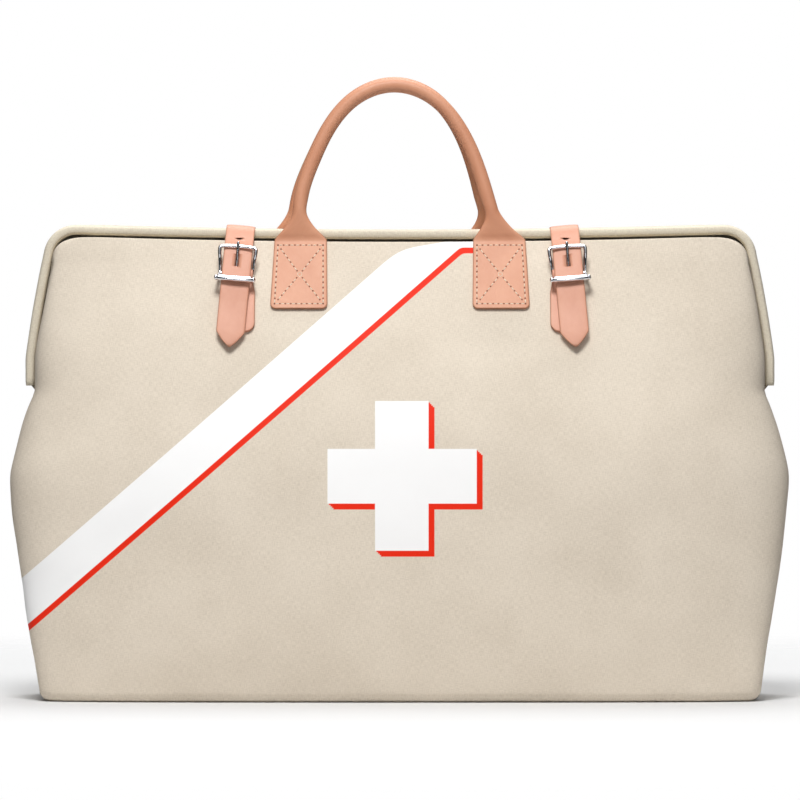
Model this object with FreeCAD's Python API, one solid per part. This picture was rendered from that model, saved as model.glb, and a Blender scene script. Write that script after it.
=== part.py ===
import FreeCAD, Part
import math
import os

# A canvas doctor bag. Its mouth is a pair of U-shaped flat steel hoops, one nested in the other,
# that swing apart about rivets at the ends of their legs.
# Millimetres. +Z up, front faces -Y, +X to the viewer's right, origin under the centre of the base.

Vector = FreeCAD.Vector

# Body cloth
CLOTH = 1.6                  # thickness of the canvas
BELLY_HALF_LENGTH = 305.0    # widest half length of the body
BELLY_Z = 177.0              # height of the widest place
BASE_NARROWING = 22.0        # how much shorter each end is at the base
NOTCH_NARROWING = 20.5       # how much the ends draw in just under the hoops
NOTCH_Z = 240.0
BELLY_HALF_DEPTH = 95.0      # half depth at the fullest height
BELLY_DEPTH_Z = 150.0
BASE_DEPTH_LOSS = 19.0       # how much shallower each wall is at the base
TUCK = 8.0                   # rounding where the walls turn under
END_HALF_DEPTH_BASE = 50.0   # half depth of the flat end at the base
END_HALF_DEPTH_TOP = 17.5    # and at the hinge
END_TAPER_Z = 250.0
SHELL_TOP_Z = 250.0          # upper edge of the static body cloth
SHELL_END_Z = 228.0          # the same edge at both ends, under the hoop legs
SHELL_FLAT_X = 200.0         # where that edge starts to drop
SHELL_DROP_X = 255.0         # and where it has dropped
BOARD_THICKNESS = 4.0
BINDING_WIDTH = 16.0
BINDING_THICKNESS = 1.2
BINDING_GAP = 1.0            # inside the cloth

# Hoops: outer outline of the rear one, the front one is set in from it
LEG_HALF_WIDTH = 295.0       # straight lower legs
LEG_BOTTOM_Z = 246.0
LEG_STRAIGHT_Z = 268.0       # the legs lean inwards above this height
LEG_BOW = Vector(289.4, 0, 306.0)
CORNER_CENTRE = Vector(255.0, 0, 346.6)
CORNER_RADIUS = 26.0
HOOP_TOP_Z = 369.0           # at the middle, the corners stand a little higher
REAR_BAND = 8.0              # sleeve thickness across the outline
FRONT_BAND = 7.0
HOOP_GAP = 2.0               # between the two sleeves
STRIP = 3.0                  # steel strip thickness
STRIP_INSET_REAR = 2.5       # canvas outside the strip
STRIP_INSET_FRONT = 2.0
REAR_SLEEVE_Y = (-12.0, 12.0)
REAR_STRIP_Y = (-9.5, 9.5)
FRONT_SLEEVE_Y = (-16.0, 4.0)
FRONT_STRIP_Y = (-15.0, 3.0)
FRONT_INSET = REAR_BAND + HOOP_GAP

# Hinge
HINGE_Z = 256.0
RIVET_RADIUS = 2.5
RUNNING_GAP = 0.05
RIVET_HEAD_RADIUS = 4.5
RIVET_HEAD = 1.4
TAB_THICKNESS = 0.8
TAB_HALF_WIDTH = 9.0
TAB_BOTTOM_Z = 228.0

# Upper panels
PANEL_CLOTH = 1.5
PANEL_BOTTOM_Z = 246.0
PANEL_CURVE = 2.8            # exponent of the wall's curve in plan
FRONT_TOP_Z = 360.0          # height at which the wall meets the hoop's face
REAR_TOP_Z = 370.0
FRONT_FACE = 17.5            # distance of that face from the middle plane
REAR_FACE = 13.5
FRONT_TUCK_IN = 9.0          # how far the lower edge sits inside the body cloth
REAR_TUCK_IN = 11.5
REAR_CORNER_CUT = 27.0       # the rear wall's lower corners are cut off, clear of the body cloth
TUCK_IN_Z = 290.0

# Handles
PATCH_X = 78.0
PATCH_TOP_WIDTH = 41.5
PATCH_BOTTOM_WIDTH = 45.0
PATCH_BOTTOM_Z = 306.0
PATCH_TOP_Z = 355.5          # the leather bends between here and the fold line
PATCH_THICKNESS = 2.4
PATCH_GAP = 0.5
PATCH_CORNER = 4.0
PATCH_TILT = 1.5
REAR_HANDLE_SHIFT = -6.5     # the rear handle is sewn on a little to the left
ROLL_RADIUS = 6.0
CORE_RADIUS = 3.2
HANDLE_HEIGHT = 121.6        # fold line to the middle of the roll at the top
HANDLE_LEAN_X = -4.5
HANDLE_TOP_Y = 6.6           # distance of each roll's middle from the middle plane at the top
FRONT_FOLD = Vector(0, -19.8, 361.6)
REAR_FOLD = Vector(0, 19.6, 363.0)
HANDLE_HALF_SPAN = ((78.0, 0.0), (73.4, 33.0), (64.2, 61.5), (50.5, 89.5), (30.0, 111.8))
FLARE = 25.0                 # height over which the flat ends become the roll
FLARE_HALF_WIDTH = 20.0
FLARE_HALF_THICKNESS = 1.3

# Straps and buckles
STRAP_X = {"left": -128.5, "right": 132.5}
STRAP_WIDTH = 22.5
STRAP_THICKNESS = 2.2
STRAP_SPLAY = 5.0            # degrees, the straps run outwards as they go down
STRAP_TIP_Z = 275.0
STRAP_TIP_LENGTH = 12.0
STRAP_TIP_LIFT = 5.4
STRAP_LIFT = 8.8             # middle of the strap above the panel at the buckle
BUCKLE_Z = 332.0             # height of the panel point behind the middle bar
WIRE_RADIUS = 1.5
BAR_LIFT = 3.8
FRAME_HALF_WIDTH = 14.2
FRAME_TOP = 19.7
FRAME_TOP_LIFT = 12.0
FRAME_BOTTOM = -9.0
FRAME_BOTTOM_LIFT = 12.9
FRAME_WAIST = 12.7
ROLLER_RADIUS = 2.5
ROLLER_HALF_LENGTH = 12.5
PRONG_RADIUS = 1.2
PRONG_SLOT = 3.4
CHAPE_WIDTH = 24.0
CHAPE_NECK_WIDTH = 21.0
CHAPE_BOTTOM_Z = 288.0
CHAPE_SHIFT = 3.0            # the chape sits nearer the middle of the bag than the strap
ANCHOR_Z = (318.0, 364.0)


# ---------------------------------------------------------------- body shape

def tuck_inset(z):
    if z >= TUCK:
        return 0.0
    rise = 1 - z / TUCK
    return TUCK * (1 - math.sqrt(1 - rise * rise * 0.98))


def half_length(z):
    """Half length of the body at height z."""
    if z < BELLY_Z:
        narrowing = BASE_NARROWING * (1 - z / BELLY_Z) ** 1.3
    else:
        narrowing = NOTCH_NARROWING * ((z - BELLY_Z) / (NOTCH_Z - BELLY_Z)) ** 1.4
    return BELLY_HALF_LENGTH - narrowing - tuck_inset(z)


def half_depth(z, face=FRONT_FACE, top_z=FRONT_TOP_Z):
    """Half depth at the middle of the wall: fullest low down, drawn in to the hoop's face."""
    if z < BELLY_DEPTH_Z:
        return BELLY_HALF_DEPTH - BASE_DEPTH_LOSS * (1 - z / BELLY_DEPTH_Z) ** 2 - tuck_inset(z)
    if z >= top_z:
        return face
    turn = math.pi / 2 * (z - BELLY_DEPTH_Z) / (top_z - BELLY_DEPTH_Z)
    return face + (BELLY_HALF_DEPTH - face) * math.cos(turn)


def end_half_depth(z):
    share = max(0.0, 1 - z / END_TAPER_Z) ** 0.8
    flat = END_HALF_DEPTH_TOP + (END_HALF_DEPTH_BASE - END_HALF_DEPTH_TOP) * share
    return flat - tuck_inset(z) / 2


def curve_power(z):
    return 3.2 - 0.4 * min(1.0, z / END_TAPER_Z)


def wall_quarter(length, depth, end, power, steps=7):
    """Points from the end of a wall to its middle, in plan, as positive lengths and depths."""
    points = []
    for step in range(steps + 1):
        turn = math.pi / 2 * step / steps
        along = length * math.cos(turn) ** (2 / power) if step < steps else 0.0
        out = end + (depth - end) * math.sin(turn) ** (2 / power)
        points.append((along, out))
    return points


def half_outline(z, inset, side):
    """Points of one half of the body's outline at height z, from one end's middle to the other's."""
    quarter = wall_quarter(half_length(z) - inset, half_depth(z) - inset,
                           end_half_depth(z) - inset / 2, curve_power(z))
    end_x = half_length(z) - inset
    end_points = [(end_x, 0.0), (end_x, quarter[0][1] / 2)]
    right = [Vector(x, side * y, z) for x, y in end_points + quarter]
    left = [Vector(-p.x, p.y, z) for p in reversed(right[:-1])]
    return right + left


def smooth_edge(points):
    curve = Part.BSplineCurve()
    curve.interpolate(points)
    return curve.toShape()


def crescent(outer, inner):
    """Closed wire between two open outlines that run the same way."""
    return Part.Wire([smooth_edge(outer), Part.makeLine(outer[-1], inner[-1]),
                      smooth_edge(inner[::-1]), Part.makeLine(inner[0], outer[0])])


def body_wall(side):
    """Front (-1) or rear (+1) half of the static cloth."""
    levels = [CLOTH, 3, 5, TUCK, 20, 40, 65, 95, 125, 150, BELLY_Z, 195, 210, 222, 236, SHELL_TOP_Z + 2]
    wires = [crescent(half_outline(z, 0, side), half_outline(z, CLOTH, side)) for z in levels]
    return Part.makeLoft(wires, True, True).cut(above_shell())


def body_slice(z0, z1, inset):
    """Flat piece that fills the body's outline between two heights near the base."""
    wires = []
    for z in (z0, z1):
        front = half_outline(z, inset, -1)
        rear = half_outline(z, inset, 1)
        wires.append(Part.Wire([smooth_edge(front), smooth_edge(rear[::-1])]))
    return Part.makeLoft(wires, True, True)


def end_binding(side):
    """Tape over the seam inside one end, from the base board up to the end tab."""
    wires = []
    half = BINDING_WIDTH / 2
    for z in (CLOTH + BOARD_THICKNESS, 18, 40, 80, 130, BELLY_Z, 205, TAB_BOTTOM_Z):
        outer = side * (half_length(z) - CLOTH - BINDING_GAP)
        inner = outer - side * BINDING_THICKNESS
        loop = [Vector(outer, -half, z), Vector(outer, half, z),
                Vector(inner, half, z), Vector(inner, -half, z)]
        wires.append(Part.makePolygon(loop + loop[:1]))
    return Part.makeLoft(wires, True, True)


def slab(x0, x1, y0, y1, z0, z1):
    return Part.makeBox(x1 - x0, y1 - y0, z1 - z0, Vector(x0, y0, z0))


def prism_along_y(points, y0, y1):
    """Solid with a straight-sided outline in XZ, from y0 to y1."""
    loop = [Vector(x, y0, z) for x, z in points]
    face = Part.Face(Part.makePolygon(loop + loop[:1]))
    return face.extrude(Vector(0, y1 - y0, 0))


def above_shell():
    """Everything above the static cloth's upper edge, which dips under the hoop legs."""
    far = BELLY_HALF_LENGTH + 20
    edge = [(-far, SHELL_END_Z), (-SHELL_DROP_X, SHELL_END_Z), (-SHELL_FLAT_X, SHELL_TOP_Z),
            (SHELL_FLAT_X, SHELL_TOP_Z), (SHELL_DROP_X, SHELL_END_Z), (far, SHELL_END_Z)]
    return prism_along_y(edge + [(far, SHELL_TOP_Z + 40), (-far, SHELL_TOP_Z + 40)], -150, 150)


def body_nodes():
    return {
        "bottom_panel": body_slice(0, CLOTH, 0),
        "front_panel": body_wall(-1),
        "rear_panel": body_wall(1),
        "base_board": body_slice(CLOTH, CLOTH + BOARD_THICKNESS, CLOTH + 0.4),
        "left_end_binding": end_binding(-1),
        "right_end_binding": end_binding(1),
    }


# ---------------------------------------------------------------- hoops

def leg_half_width(z, inset=0.0):
    """Half width of a hoop's outline at height z, with the leg carried on past the corner."""
    if z <= LEG_STRAIGHT_Z:
        return LEG_HALF_WIDTH - inset
    lean = (z - LEG_STRAIGHT_Z) / (CORNER_CENTRE.z + 4 - LEG_STRAIGHT_Z)
    return LEG_HALF_WIDTH - inset - 14.3 * (0.75 * lean + 0.25 * lean * lean)


def hoop_outline(inset):
    """Edges of the U from the right leg end, over the top, to the left leg end, in the plane y = 0."""
    radius = CORNER_RADIUS - inset
    leg_x = LEG_HALF_WIDTH - inset
    tilt = math.radians(8.5)
    middle = math.radians(48)
    side = CORNER_CENTRE + Vector(math.cos(tilt), 0, math.sin(tilt)) * radius
    knee = CORNER_CENTRE + Vector(math.cos(middle), 0, math.sin(middle)) * radius
    crown = CORNER_CENTRE + Vector(0, 0, radius)
    bow = LEG_BOW - Vector(inset, 0, 0)
    foot = Vector(leg_x, 0, LEG_BOTTOM_Z)
    ankle = Vector(leg_x, 0, LEG_STRAIGHT_Z)
    right = [Part.LineSegment(foot, ankle), Part.Arc(ankle, bow, side), Part.Arc(side, knee, crown)]
    top = Part.Arc(crown, Vector(0, 0, HOOP_TOP_Z - inset), Vector(-crown.x, 0, crown.z))
    mirror = FreeCAD.Matrix(-1, 0, 0, 0, 0, 1, 0, 0, 0, 0, 1, 0, 0, 0, 0, 1)
    right_edges = [curve.toShape() for curve in right]
    left_edges = [edge.transformGeometry(mirror) for edge in reversed(right_edges)]
    return right_edges + [top.toShape()] + left_edges


def hoop_band(inset_outer, inset_inner, y_range):
    """Flat U band between two insets of the outline, extruded over y_range."""
    outer = hoop_outline(inset_outer)
    inner = hoop_outline(inset_inner)
    ends = [Part.makeLine(Vector(s * (LEG_HALF_WIDTH - inset_outer), 0, LEG_BOTTOM_Z),
                          Vector(s * (LEG_HALF_WIDTH - inset_inner), 0, LEG_BOTTOM_Z)) for s in (1, -1)]
    wire = Part.Wire(Part.__sortEdges__(outer + inner + ends))
    band = Part.Face(wire).extrude(Vector(0, y_range[1] - y_range[0], 0))
    band.translate(Vector(0, y_range[0], 0))
    return band


def inside_hoop(inset, y0, y1):
    """Everything under the hoop's outline, down to the panel's lower edge."""
    foot = LEG_HALF_WIDTH - inset
    low = LEG_BOTTOM_Z - 10
    corners = [Vector(-foot, 0, LEG_BOTTOM_Z), Vector(-foot, 0, low), Vector(foot, 0, low),
               Vector(foot, 0, LEG_BOTTOM_Z)]
    lines = [Part.makeLine(corners[i], corners[i + 1]) for i in range(3)]
    wire = Part.Wire(Part.__sortEdges__(hoop_outline(inset) + lines))
    solid = Part.Face(wire).extrude(Vector(0, y1 - y0, 0))
    solid.translate(Vector(0, y0, 0))
    return solid


def cylinder_x(x0, x1, radius, y=0.0, z=HINGE_Z):
    low = min(x0, x1)
    return Part.makeCylinder(radius, abs(x1 - x0), Vector(low, y, z), Vector(1, 0, 0))


def both_sides(make):
    """The same solid at the right end and, mirrored, at the left end, as one group."""
    right = make()
    left = right.mirror(Vector(0, 0, 0), Vector(1, 0, 0))
    return Part.Compound([right, left])


def rivet():
    """Shank through both legs, with a flat head inside each sleeve."""
    inner_x = LEG_HALF_WIDTH - FRONT_INSET - STRIP_INSET_FRONT - STRIP
    outer_x = LEG_HALF_WIDTH - STRIP_INSET_REAR
    shank = cylinder_x(inner_x - 0.3, outer_x, RIVET_RADIUS)
    inner_head = cylinder_x(inner_x - 0.1 - RIVET_HEAD, inner_x - 0.1, RIVET_HEAD_RADIUS)
    outer_head = cylinder_x(outer_x, outer_x + RIVET_HEAD, RIVET_HEAD_RADIUS)
    return shank.fuse([inner_head, outer_head])


def rivet_space(gap):
    """Room that a sleeve leaves for the rivet and its heads."""
    low = LEG_HALF_WIDTH - FRONT_INSET - STRIP_INSET_FRONT - STRIP - RIVET_HEAD - 0.4
    high = LEG_HALF_WIDTH - STRIP_INSET_REAR + RIVET_HEAD + gap
    inner_x = LEG_HALF_WIDTH - FRONT_INSET - STRIP_INSET_FRONT - STRIP + 0.05
    outer_x = LEG_HALF_WIDTH - STRIP_INSET_REAR
    shank = cylinder_x(low, high, RIVET_RADIUS + 0.6)
    heads = [cylinder_x(low, inner_x, RIVET_HEAD_RADIUS + 0.4),
             cylinder_x(outer_x, high, RIVET_HEAD_RADIUS + gap)]
    return shank.fuse(heads)


def rivet_hole(radius):
    return cylinder_x(LEG_HALF_WIDTH - 30, LEG_HALF_WIDTH + 10, radius)


def end_tab(side, walls):
    """Canvas tab that ties the end of the body to the rivet, in the gap between the two legs."""
    gap_middle = LEG_HALF_WIDTH - REAR_BAND - HOOP_GAP / 2
    x0 = gap_middle - TAB_THICKNESS / 2
    x1 = gap_middle + TAB_THICKNESS / 2
    tab = slab(x0, x1, -TAB_HALF_WIDTH, TAB_HALF_WIDTH, TAB_BOTTOM_Z, HINGE_Z)
    tab = tab.fuse(cylinder_x(x0, x1, TAB_HALF_WIDTH)).removeSplitter()
    tab = tab.cut(rivet_hole(RIVET_RADIUS + RUNNING_GAP))
    if side == "left":
        tab = tab.mirror(Vector(0, 0, 0), Vector(1, 0, 0))
    return max(tab.cut(walls).Solids, key=lambda solid: solid.Volume)


def hoop_nodes():
    strip_front = FRONT_INSET + STRIP_INSET_FRONT
    rear_strip = hoop_band(STRIP_INSET_REAR, STRIP_INSET_REAR + STRIP, REAR_STRIP_Y)
    front_strip = hoop_band(strip_front, strip_front + STRIP, FRONT_STRIP_Y)
    rear_sleeve = hoop_band(0, REAR_BAND, REAR_SLEEVE_Y).cut(rear_strip)
    front_sleeve = hoop_band(FRONT_INSET, FRONT_INSET + FRONT_BAND, FRONT_SLEEVE_Y).cut(front_strip)
    running_hole = both_sides(lambda: rivet_hole(RIVET_RADIUS + RUNNING_GAP))
    rivets = both_sides(rivet)
    return {
        "rear_hoop_strip": rear_strip.cut(rivets),
        "front_hoop_strip": front_strip.cut(running_hole),
        "rear_rim_sleeve": rear_sleeve.cut(rivets),
        "front_hoop_sleeve": front_sleeve.cut(both_sides(lambda: rivet_space(0.1))),
        "hinge_rivets": rivets,
    }


# ---------------------------------------------------------------- upper panels

class Wall:
    """Upper wall that one hoop carries. side is -1 in front and +1 behind."""

    def __init__(self, side):
        front = side < 0
        self.side = side
        self.face = FRONT_FACE if front else REAR_FACE
        self.top_z = FRONT_TOP_Z if front else REAR_TOP_Z
        self.inset = FRONT_INSET if front else 0.0
        self.tuck_in = FRONT_TUCK_IN if front else REAR_TUCK_IN

    def depth(self, z):
        inward = self.tuck_in * max(0.0, (TUCK_IN_Z - z) / (TUCK_IN_Z - PANEL_BOTTOM_Z)) ** 2
        return half_depth(z, self.face, self.top_z) - inward

    def surface_y(self, x, z):
        share = (1 - (abs(x) / leg_half_width(z, self.inset)) ** PANEL_CURVE) ** (1 / PANEL_CURVE)
        return self.side * (self.face + (self.depth(z) - self.face) * share)

    def section(self, z):
        """Closed crescent: outer face, inner face and the two short edges at the legs."""
        half = leg_half_width(z, self.inset)
        faces = []
        for inset in (0.0, PANEL_CLOTH):
            quarter = wall_quarter(half - inset, self.depth(z) - inset, self.face - inset, PANEL_CURVE)
            right = [Vector(x, self.side * y, z) for x, y in quarter]
            left = [Vector(-p.x, p.y, z) for p in reversed(right[:-1])]
            faces.append(right + left)
        return crescent(*faces)

    def panel(self):
        levels = [PANEL_BOTTOM_Z, 257, LEG_STRAIGHT_Z, 280, 295, 310, 325, 340, 352]
        levels += [self.top_z, self.top_z + 6]
        sheet = Part.makeLoft([self.section(z) for z in levels], True, True)
        sheet = sheet.common(inside_hoop(self.inset, -150, 150))
        if self.side > 0:
            foot = LEG_HALF_WIDTH + 1
            low = PANEL_BOTTOM_Z - 1
            for s in (-1, 1):
                corner = [(s * (foot - REAR_CORNER_CUT), low), (s * foot, low),
                          (s * foot, low + REAR_CORNER_CUT)]
                sheet = sheet.cut(prism_along_y(corner, 0, 150))
        return sheet

    def offset_point(self, x, z, lift):
        """Point lifted off the wall along its normal, and that normal, both in the plane of x."""
        step = 1.0
        rise = Vector(0, self.surface_y(x, z + step) - self.surface_y(x, z - step), 2 * step)
        rise.normalize()
        normal = Vector(0, self.side * rise.z, -self.side * rise.y)
        return Vector(x, self.surface_y(x, z), z) + normal * lift, rise, normal

    def placement(self, x, z, turn):
        """Local frame on the wall: first axis across, second up the wall, third outwards."""
        point, rise, normal = self.offset_point(x, z, 0.0)
        across = rise.cross(normal)
        flat = FreeCAD.Placement(point, FreeCAD.Rotation(across, rise, normal, "XYZ"))
        spin = FreeCAD.Placement(Vector(), FreeCAD.Rotation(Vector(0, 0, 1), turn))
        return flat.multiply(spin)


# ---------------------------------------------------------------- handles

def handle_patch(wall, x):
    """Flat stitched end of the handle leather, slightly wider at the foot, rounded lower corners."""
    middle_z = (PATCH_BOTTOM_Z + PATCH_TOP_Z) / 2
    frame = wall.placement(x, middle_z, 0.0)
    low = wall.offset_point(x, PATCH_BOTTOM_Z, 0)[0]
    high = wall.offset_point(x, PATCH_TOP_Z, 0)[0]
    half_height = (high - low).Length / 2
    top = PATCH_TOP_WIDTH / 2
    foot = PATCH_BOTTOM_WIDTH / 2
    outline = [Vector(-top, half_height, PATCH_GAP), Vector(top, half_height, PATCH_GAP),
               Vector(foot, -half_height, PATCH_GAP), Vector(-foot, -half_height, PATCH_GAP)]
    plate = Part.Face(Part.makePolygon(outline + outline[:1])).extrude(Vector(0, 0, PATCH_THICKNESS))
    lower = [e for e in plate.Edges if abs(e.tangentAt(0).z) > 0.9 and e.CenterOfMass.y < 0]
    plate = plate.makeFillet(PATCH_CORNER, lower)
    outward = 1 if x * wall.side < 0 else -1
    turn = FreeCAD.Rotation(Vector(0, 0, 1), PATCH_TILT * outward)
    plate.Placement = frame.multiply(FreeCAD.Placement(Vector(), turn))
    return plate


def handle_path(shift):
    """Middle line of the handle in its own plane: X across, Y up from the fold line."""
    half = []
    for span, height in HANDLE_HALF_SPAN:
        half.append((span, height))
    points = [Vector(-span, height, 0) for span, height in half]
    points.append(Vector(0, HANDLE_HEIGHT, 0))
    points += [Vector(span, height, 0) for span, height in reversed(half)]
    for point in points:
        rise = min(1.0, point.y / 33.0)
        point.x += HANDLE_LEAN_X * rise + shift * (1 - min(1.0, point.y / HANDLE_HEIGHT))
    curve = Part.BSplineCurve()
    curve.interpolate(points)
    return curve


def oval(centre, across, half_width, half_thickness):
    points = []
    for step in range(12):
        turn = 2 * math.pi * step / 12
        out = across * (half_width * math.cos(turn))
        points.append(centre + out + Vector(0, 0, half_thickness * math.sin(turn)))
    curve = Part.BSplineCurve()
    curve.interpolate(points, True)
    return Part.Wire([curve.toShape()])


def handle_loft(shift, size, from_height):
    """Loft along the handle's middle line. size gives the half width and thickness at a height."""
    path = handle_path(shift)
    first, last = path.FirstParameter, path.LastParameter
    wires = []
    steps = 30
    for step in range(steps + 1):
        at = first + (last - first) * step / steps
        centre = path.value(at)
        if centre.y < from_height:
            continue
        tangent = path.tangent(at)[0]
        across = Vector(-tangent.y, tangent.x, 0)
        if centre.y < FLARE:
            across = Vector(-1 if step < steps / 2 else 1, 0, 0)
        half_width, half_thickness = size(centre.y)
        wires.append(oval(centre, across, half_width, half_thickness))
    return Part.makeLoft(wires, True, False)


def grip_size(height):
    if height >= FLARE:
        return ROLL_RADIUS, ROLL_RADIUS
    left = 1 - height / FLARE
    width = ROLL_RADIUS + (FLARE_HALF_WIDTH - ROLL_RADIUS) * left ** 1.8
    thickness = FLARE_HALF_THICKNESS + (ROLL_RADIUS - FLARE_HALF_THICKNESS) * (1 - left) ** 0.8
    return width, thickness


def handle_nodes(name, fold, top_y, shift):
    """Leather roll and its rope core. The handle's plane leans in from the fold line."""
    grip = handle_loft(shift, grip_size, 0.0)
    core = handle_loft(shift, lambda height: (CORE_RADIUS, CORE_RADIUS), FLARE + 4)
    up = Vector(0, top_y - fold.y, math.sqrt(HANDLE_HEIGHT ** 2 - (top_y - fold.y) ** 2))
    up.normalize()
    normal = Vector(1, 0, 0).cross(up)
    place = FreeCAD.Placement(fold, FreeCAD.Rotation(Vector(1, 0, 0), up, normal, "XYZ"))
    grip = grip.cut(core)
    grip.Placement = place
    core.Placement = place
    return {f"{name}_handle_grip": grip, f"{name}_handle_core": core}


# ---------------------------------------------------------------- straps and buckles

def ribbon(middle, thickness, width, x):
    """Strap whose middle line is a smooth curve through points of the plane x = 0."""
    curve = Part.BSplineCurve()
    curve.interpolate(middle)
    first, last = curve.FirstParameter, curve.LastParameter
    sides = ([], [])
    steps = 24
    for step in range(steps + 1):
        at = first + (last - first) * step / steps
        tangent = curve.tangent(at)[0]
        normal = Vector(0, -tangent.z, tangent.y)
        sides[0].append(curve.value(at) + normal * (thickness / 2))
        sides[1].append(curve.value(at) - normal * (thickness / 2))
    edges = []
    for side in sides:
        bent = Part.BSplineCurve()
        bent.interpolate(side)
        edges.append(bent.toShape())
    edges.append(Part.makeLine(sides[0][0], sides[1][0]))
    edges.append(Part.makeLine(sides[0][-1], sides[1][-1]))
    face = Part.Face(Part.Wire(Part.__sortEdges__(edges)))
    solid = face.extrude(Vector(width, 0, 0))
    solid.translate(Vector(x - width / 2, 0, 0))
    return solid


def wall_points(wall, x, stations):
    return [Vector(0, point.y, point.z) for point in
            (wall.offset_point(x, z, lift)[0] for z, lift in stations)]


def splayed(shape, x, angle):
    """Turn a strap in the XZ plane about its buckle."""
    side = -1 if x < 0 else 1
    shape.rotate(Vector(x, 0, BUCKLE_Z), Vector(0, -1, 0), side * angle)
    return shape


def strap(wall, x, buckle_frame):
    """Closing strap: over both hoops, under the buckle's bars, over its middle bar, pointed tail."""
    over_rim = [Vector(0, 20.6, 367.6), Vector(0, 17.6, 371.5), Vector(0, 10.0, 372.8),
                Vector(0, -8.0, 372.8), Vector(0, -15.6, 370.9), Vector(0, -21.0, 366.0)]
    stations = [(352.0, STRAP_LIFT), (342.0, STRAP_LIFT), (BUCKLE_Z, STRAP_LIFT), (323.0, STRAP_LIFT),
                (308.0, 7.0), (292.0, 6.0), (STRAP_TIP_Z, STRAP_TIP_LIFT)]
    body = ribbon(over_rim + wall_points(wall, x, stations), STRAP_THICKNESS, STRAP_WIDTH, x)
    tip = wall.offset_point(x, STRAP_TIP_Z, STRAP_TIP_LIFT)[0].z
    half = STRAP_WIDTH / 2 + 1
    for side in (-1, 1):
        corner = [(x + side * half, tip - 5), (x + side * half, tip + STRAP_TIP_LENGTH),
                  (x + side * half * 0.55, tip + STRAP_TIP_LENGTH * 0.3), (x, tip), (x, tip - 5)]
        body = body.cut(prism_along_y(corner, -120, 0))
    body = splayed(body, x, STRAP_SPLAY)
    slot = slab(-PRONG_SLOT / 2, PRONG_SLOT / 2, 3.5, 16.0, 5.5, 13.5)
    slot.Placement = buckle_frame
    spare = Part.makeCylinder(1.8, 14, Vector(0, 27.5, 2))
    spare.Placement = buckle_frame
    return body.cut(slot).cut(spare)


def chape(wall, x, buckle_frame):
    """Leather loop that holds the middle bar, its two layers sewn flat on the wall below."""
    inner_x = x + (CHAPE_SHIFT if x < 0 else -CHAPE_SHIFT)
    stations = [(CHAPE_BOTTOM_Z, 2.0), (300.0, 2.0), (312.0, 2.0), (324.0, 2.0)]
    layers = ribbon(wall_points(wall, inner_x, stations), 3.4, CHAPE_WIDTH, inner_x)
    corners = [e for e in layers.Edges if abs(e.tangentAt(e.FirstParameter).y) > 0.5
               and e.Length < 5 and e.CenterOfMass.z < CHAPE_BOTTOM_Z + 4]
    layers = layers.makeFillet(8.0, corners) if len(corners) == 2 else layers
    half = CHAPE_NECK_WIDTH / 2
    neck = slab(-half, half, -14, 0, 0.7, 4.0)
    ring = Part.makeCylinder(3.4, 2 * half, Vector(-half, 0, BAR_LIFT), Vector(1, 0, 0))
    hole_start = Vector(-half - 1, 0, BAR_LIFT)
    hole = Part.makeCylinder(WIRE_RADIUS + 0.15, 2 * half + 2, hole_start, Vector(1, 0, 0))
    slot = slab(-2.2, 2.2, -4.5, 6, -1, 9)
    loop = neck.fuse(ring).cut(hole).cut(slot)
    loop.Placement = buckle_frame
    return layers.fuse(loop)


def rod(start, end, radius):
    return Part.makeCylinder(radius, (end - start).Length, start, end - start)


def wire_form(points, radius):
    """Bent round wire: straight lengths with a ball at each bend."""
    shape = rod(points[0], points[1], radius)
    for start, end in zip(points[1:], points[2:]):
        shape = shape.fuse([Part.makeSphere(radius, start), rod(start, end, radius)])
    return shape


def buckle_frame_wire():
    """Top bar, two side wires that dip to the middle bar at the waist, and the roller's bar."""
    profile = [(FRAME_HALF_WIDTH - 2.5, FRAME_TOP, FRAME_TOP_LIFT),
               (FRAME_HALF_WIDTH - 0.4, FRAME_TOP - 1.2, FRAME_TOP_LIFT),
               (FRAME_HALF_WIDTH, FRAME_TOP - 4, FRAME_TOP_LIFT - 0.5),
               (13.7, 11.0, 9.6), (13.0, 5.0, 5.6), (FRAME_WAIST, 0.0, BAR_LIFT),
               (13.4, -3.8, 6.4), (14.3, -7.6, 11.2), (14.6, FRAME_BOTTOM, FRAME_BOTTOM_LIFT)]
    right = [Vector(*point) for point in profile]
    left = [Vector(-p.x, p.y, p.z) for p in reversed(right)]
    loop = left + right
    shape = wire_form(loop, WIRE_RADIUS)
    ends = [Part.makeSphere(WIRE_RADIUS, p) for p in (loop[0], loop[-1])]
    bars = [rod(left[0], right[-1], WIRE_RADIUS),
            rod(Vector(-FRAME_WAIST, 0, BAR_LIFT), Vector(FRAME_WAIST, 0, BAR_LIFT), WIRE_RADIUS)]
    return shape.fuse(ends + bars)


def prong():
    """Ring round the middle bar and a pin that leans on the top bar."""
    across = Vector(1, 0, 0)
    start = Vector(-1.4, 0, BAR_LIFT)
    ring = Part.makeCylinder(2.9, 2.8, start, across)
    pin_start = Vector(0, 1.6, BAR_LIFT + 1.2)
    pin_end = Vector(0, FRAME_TOP + 1.4, FRAME_TOP_LIFT + 4.2)
    pin = rod(pin_start, pin_end, PRONG_RADIUS).fuse(Part.makeSphere(PRONG_RADIUS, pin_end))
    bore = Part.makeCylinder(WIRE_RADIUS + RUNNING_GAP, 6, Vector(-3, 0, BAR_LIFT), across)
    return ring.fuse(pin).cut(bore)


def roller():
    start = Vector(-ROLLER_HALF_LENGTH, FRAME_BOTTOM, FRAME_BOTTOM_LIFT)
    across = Vector(1, 0, 0)
    tube = Part.makeCylinder(ROLLER_RADIUS, 2 * ROLLER_HALF_LENGTH, start, across)
    return tube.cut(Part.makeCylinder(WIRE_RADIUS + RUNNING_GAP, 2 * ROLLER_HALF_LENGTH, start, across))


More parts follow.
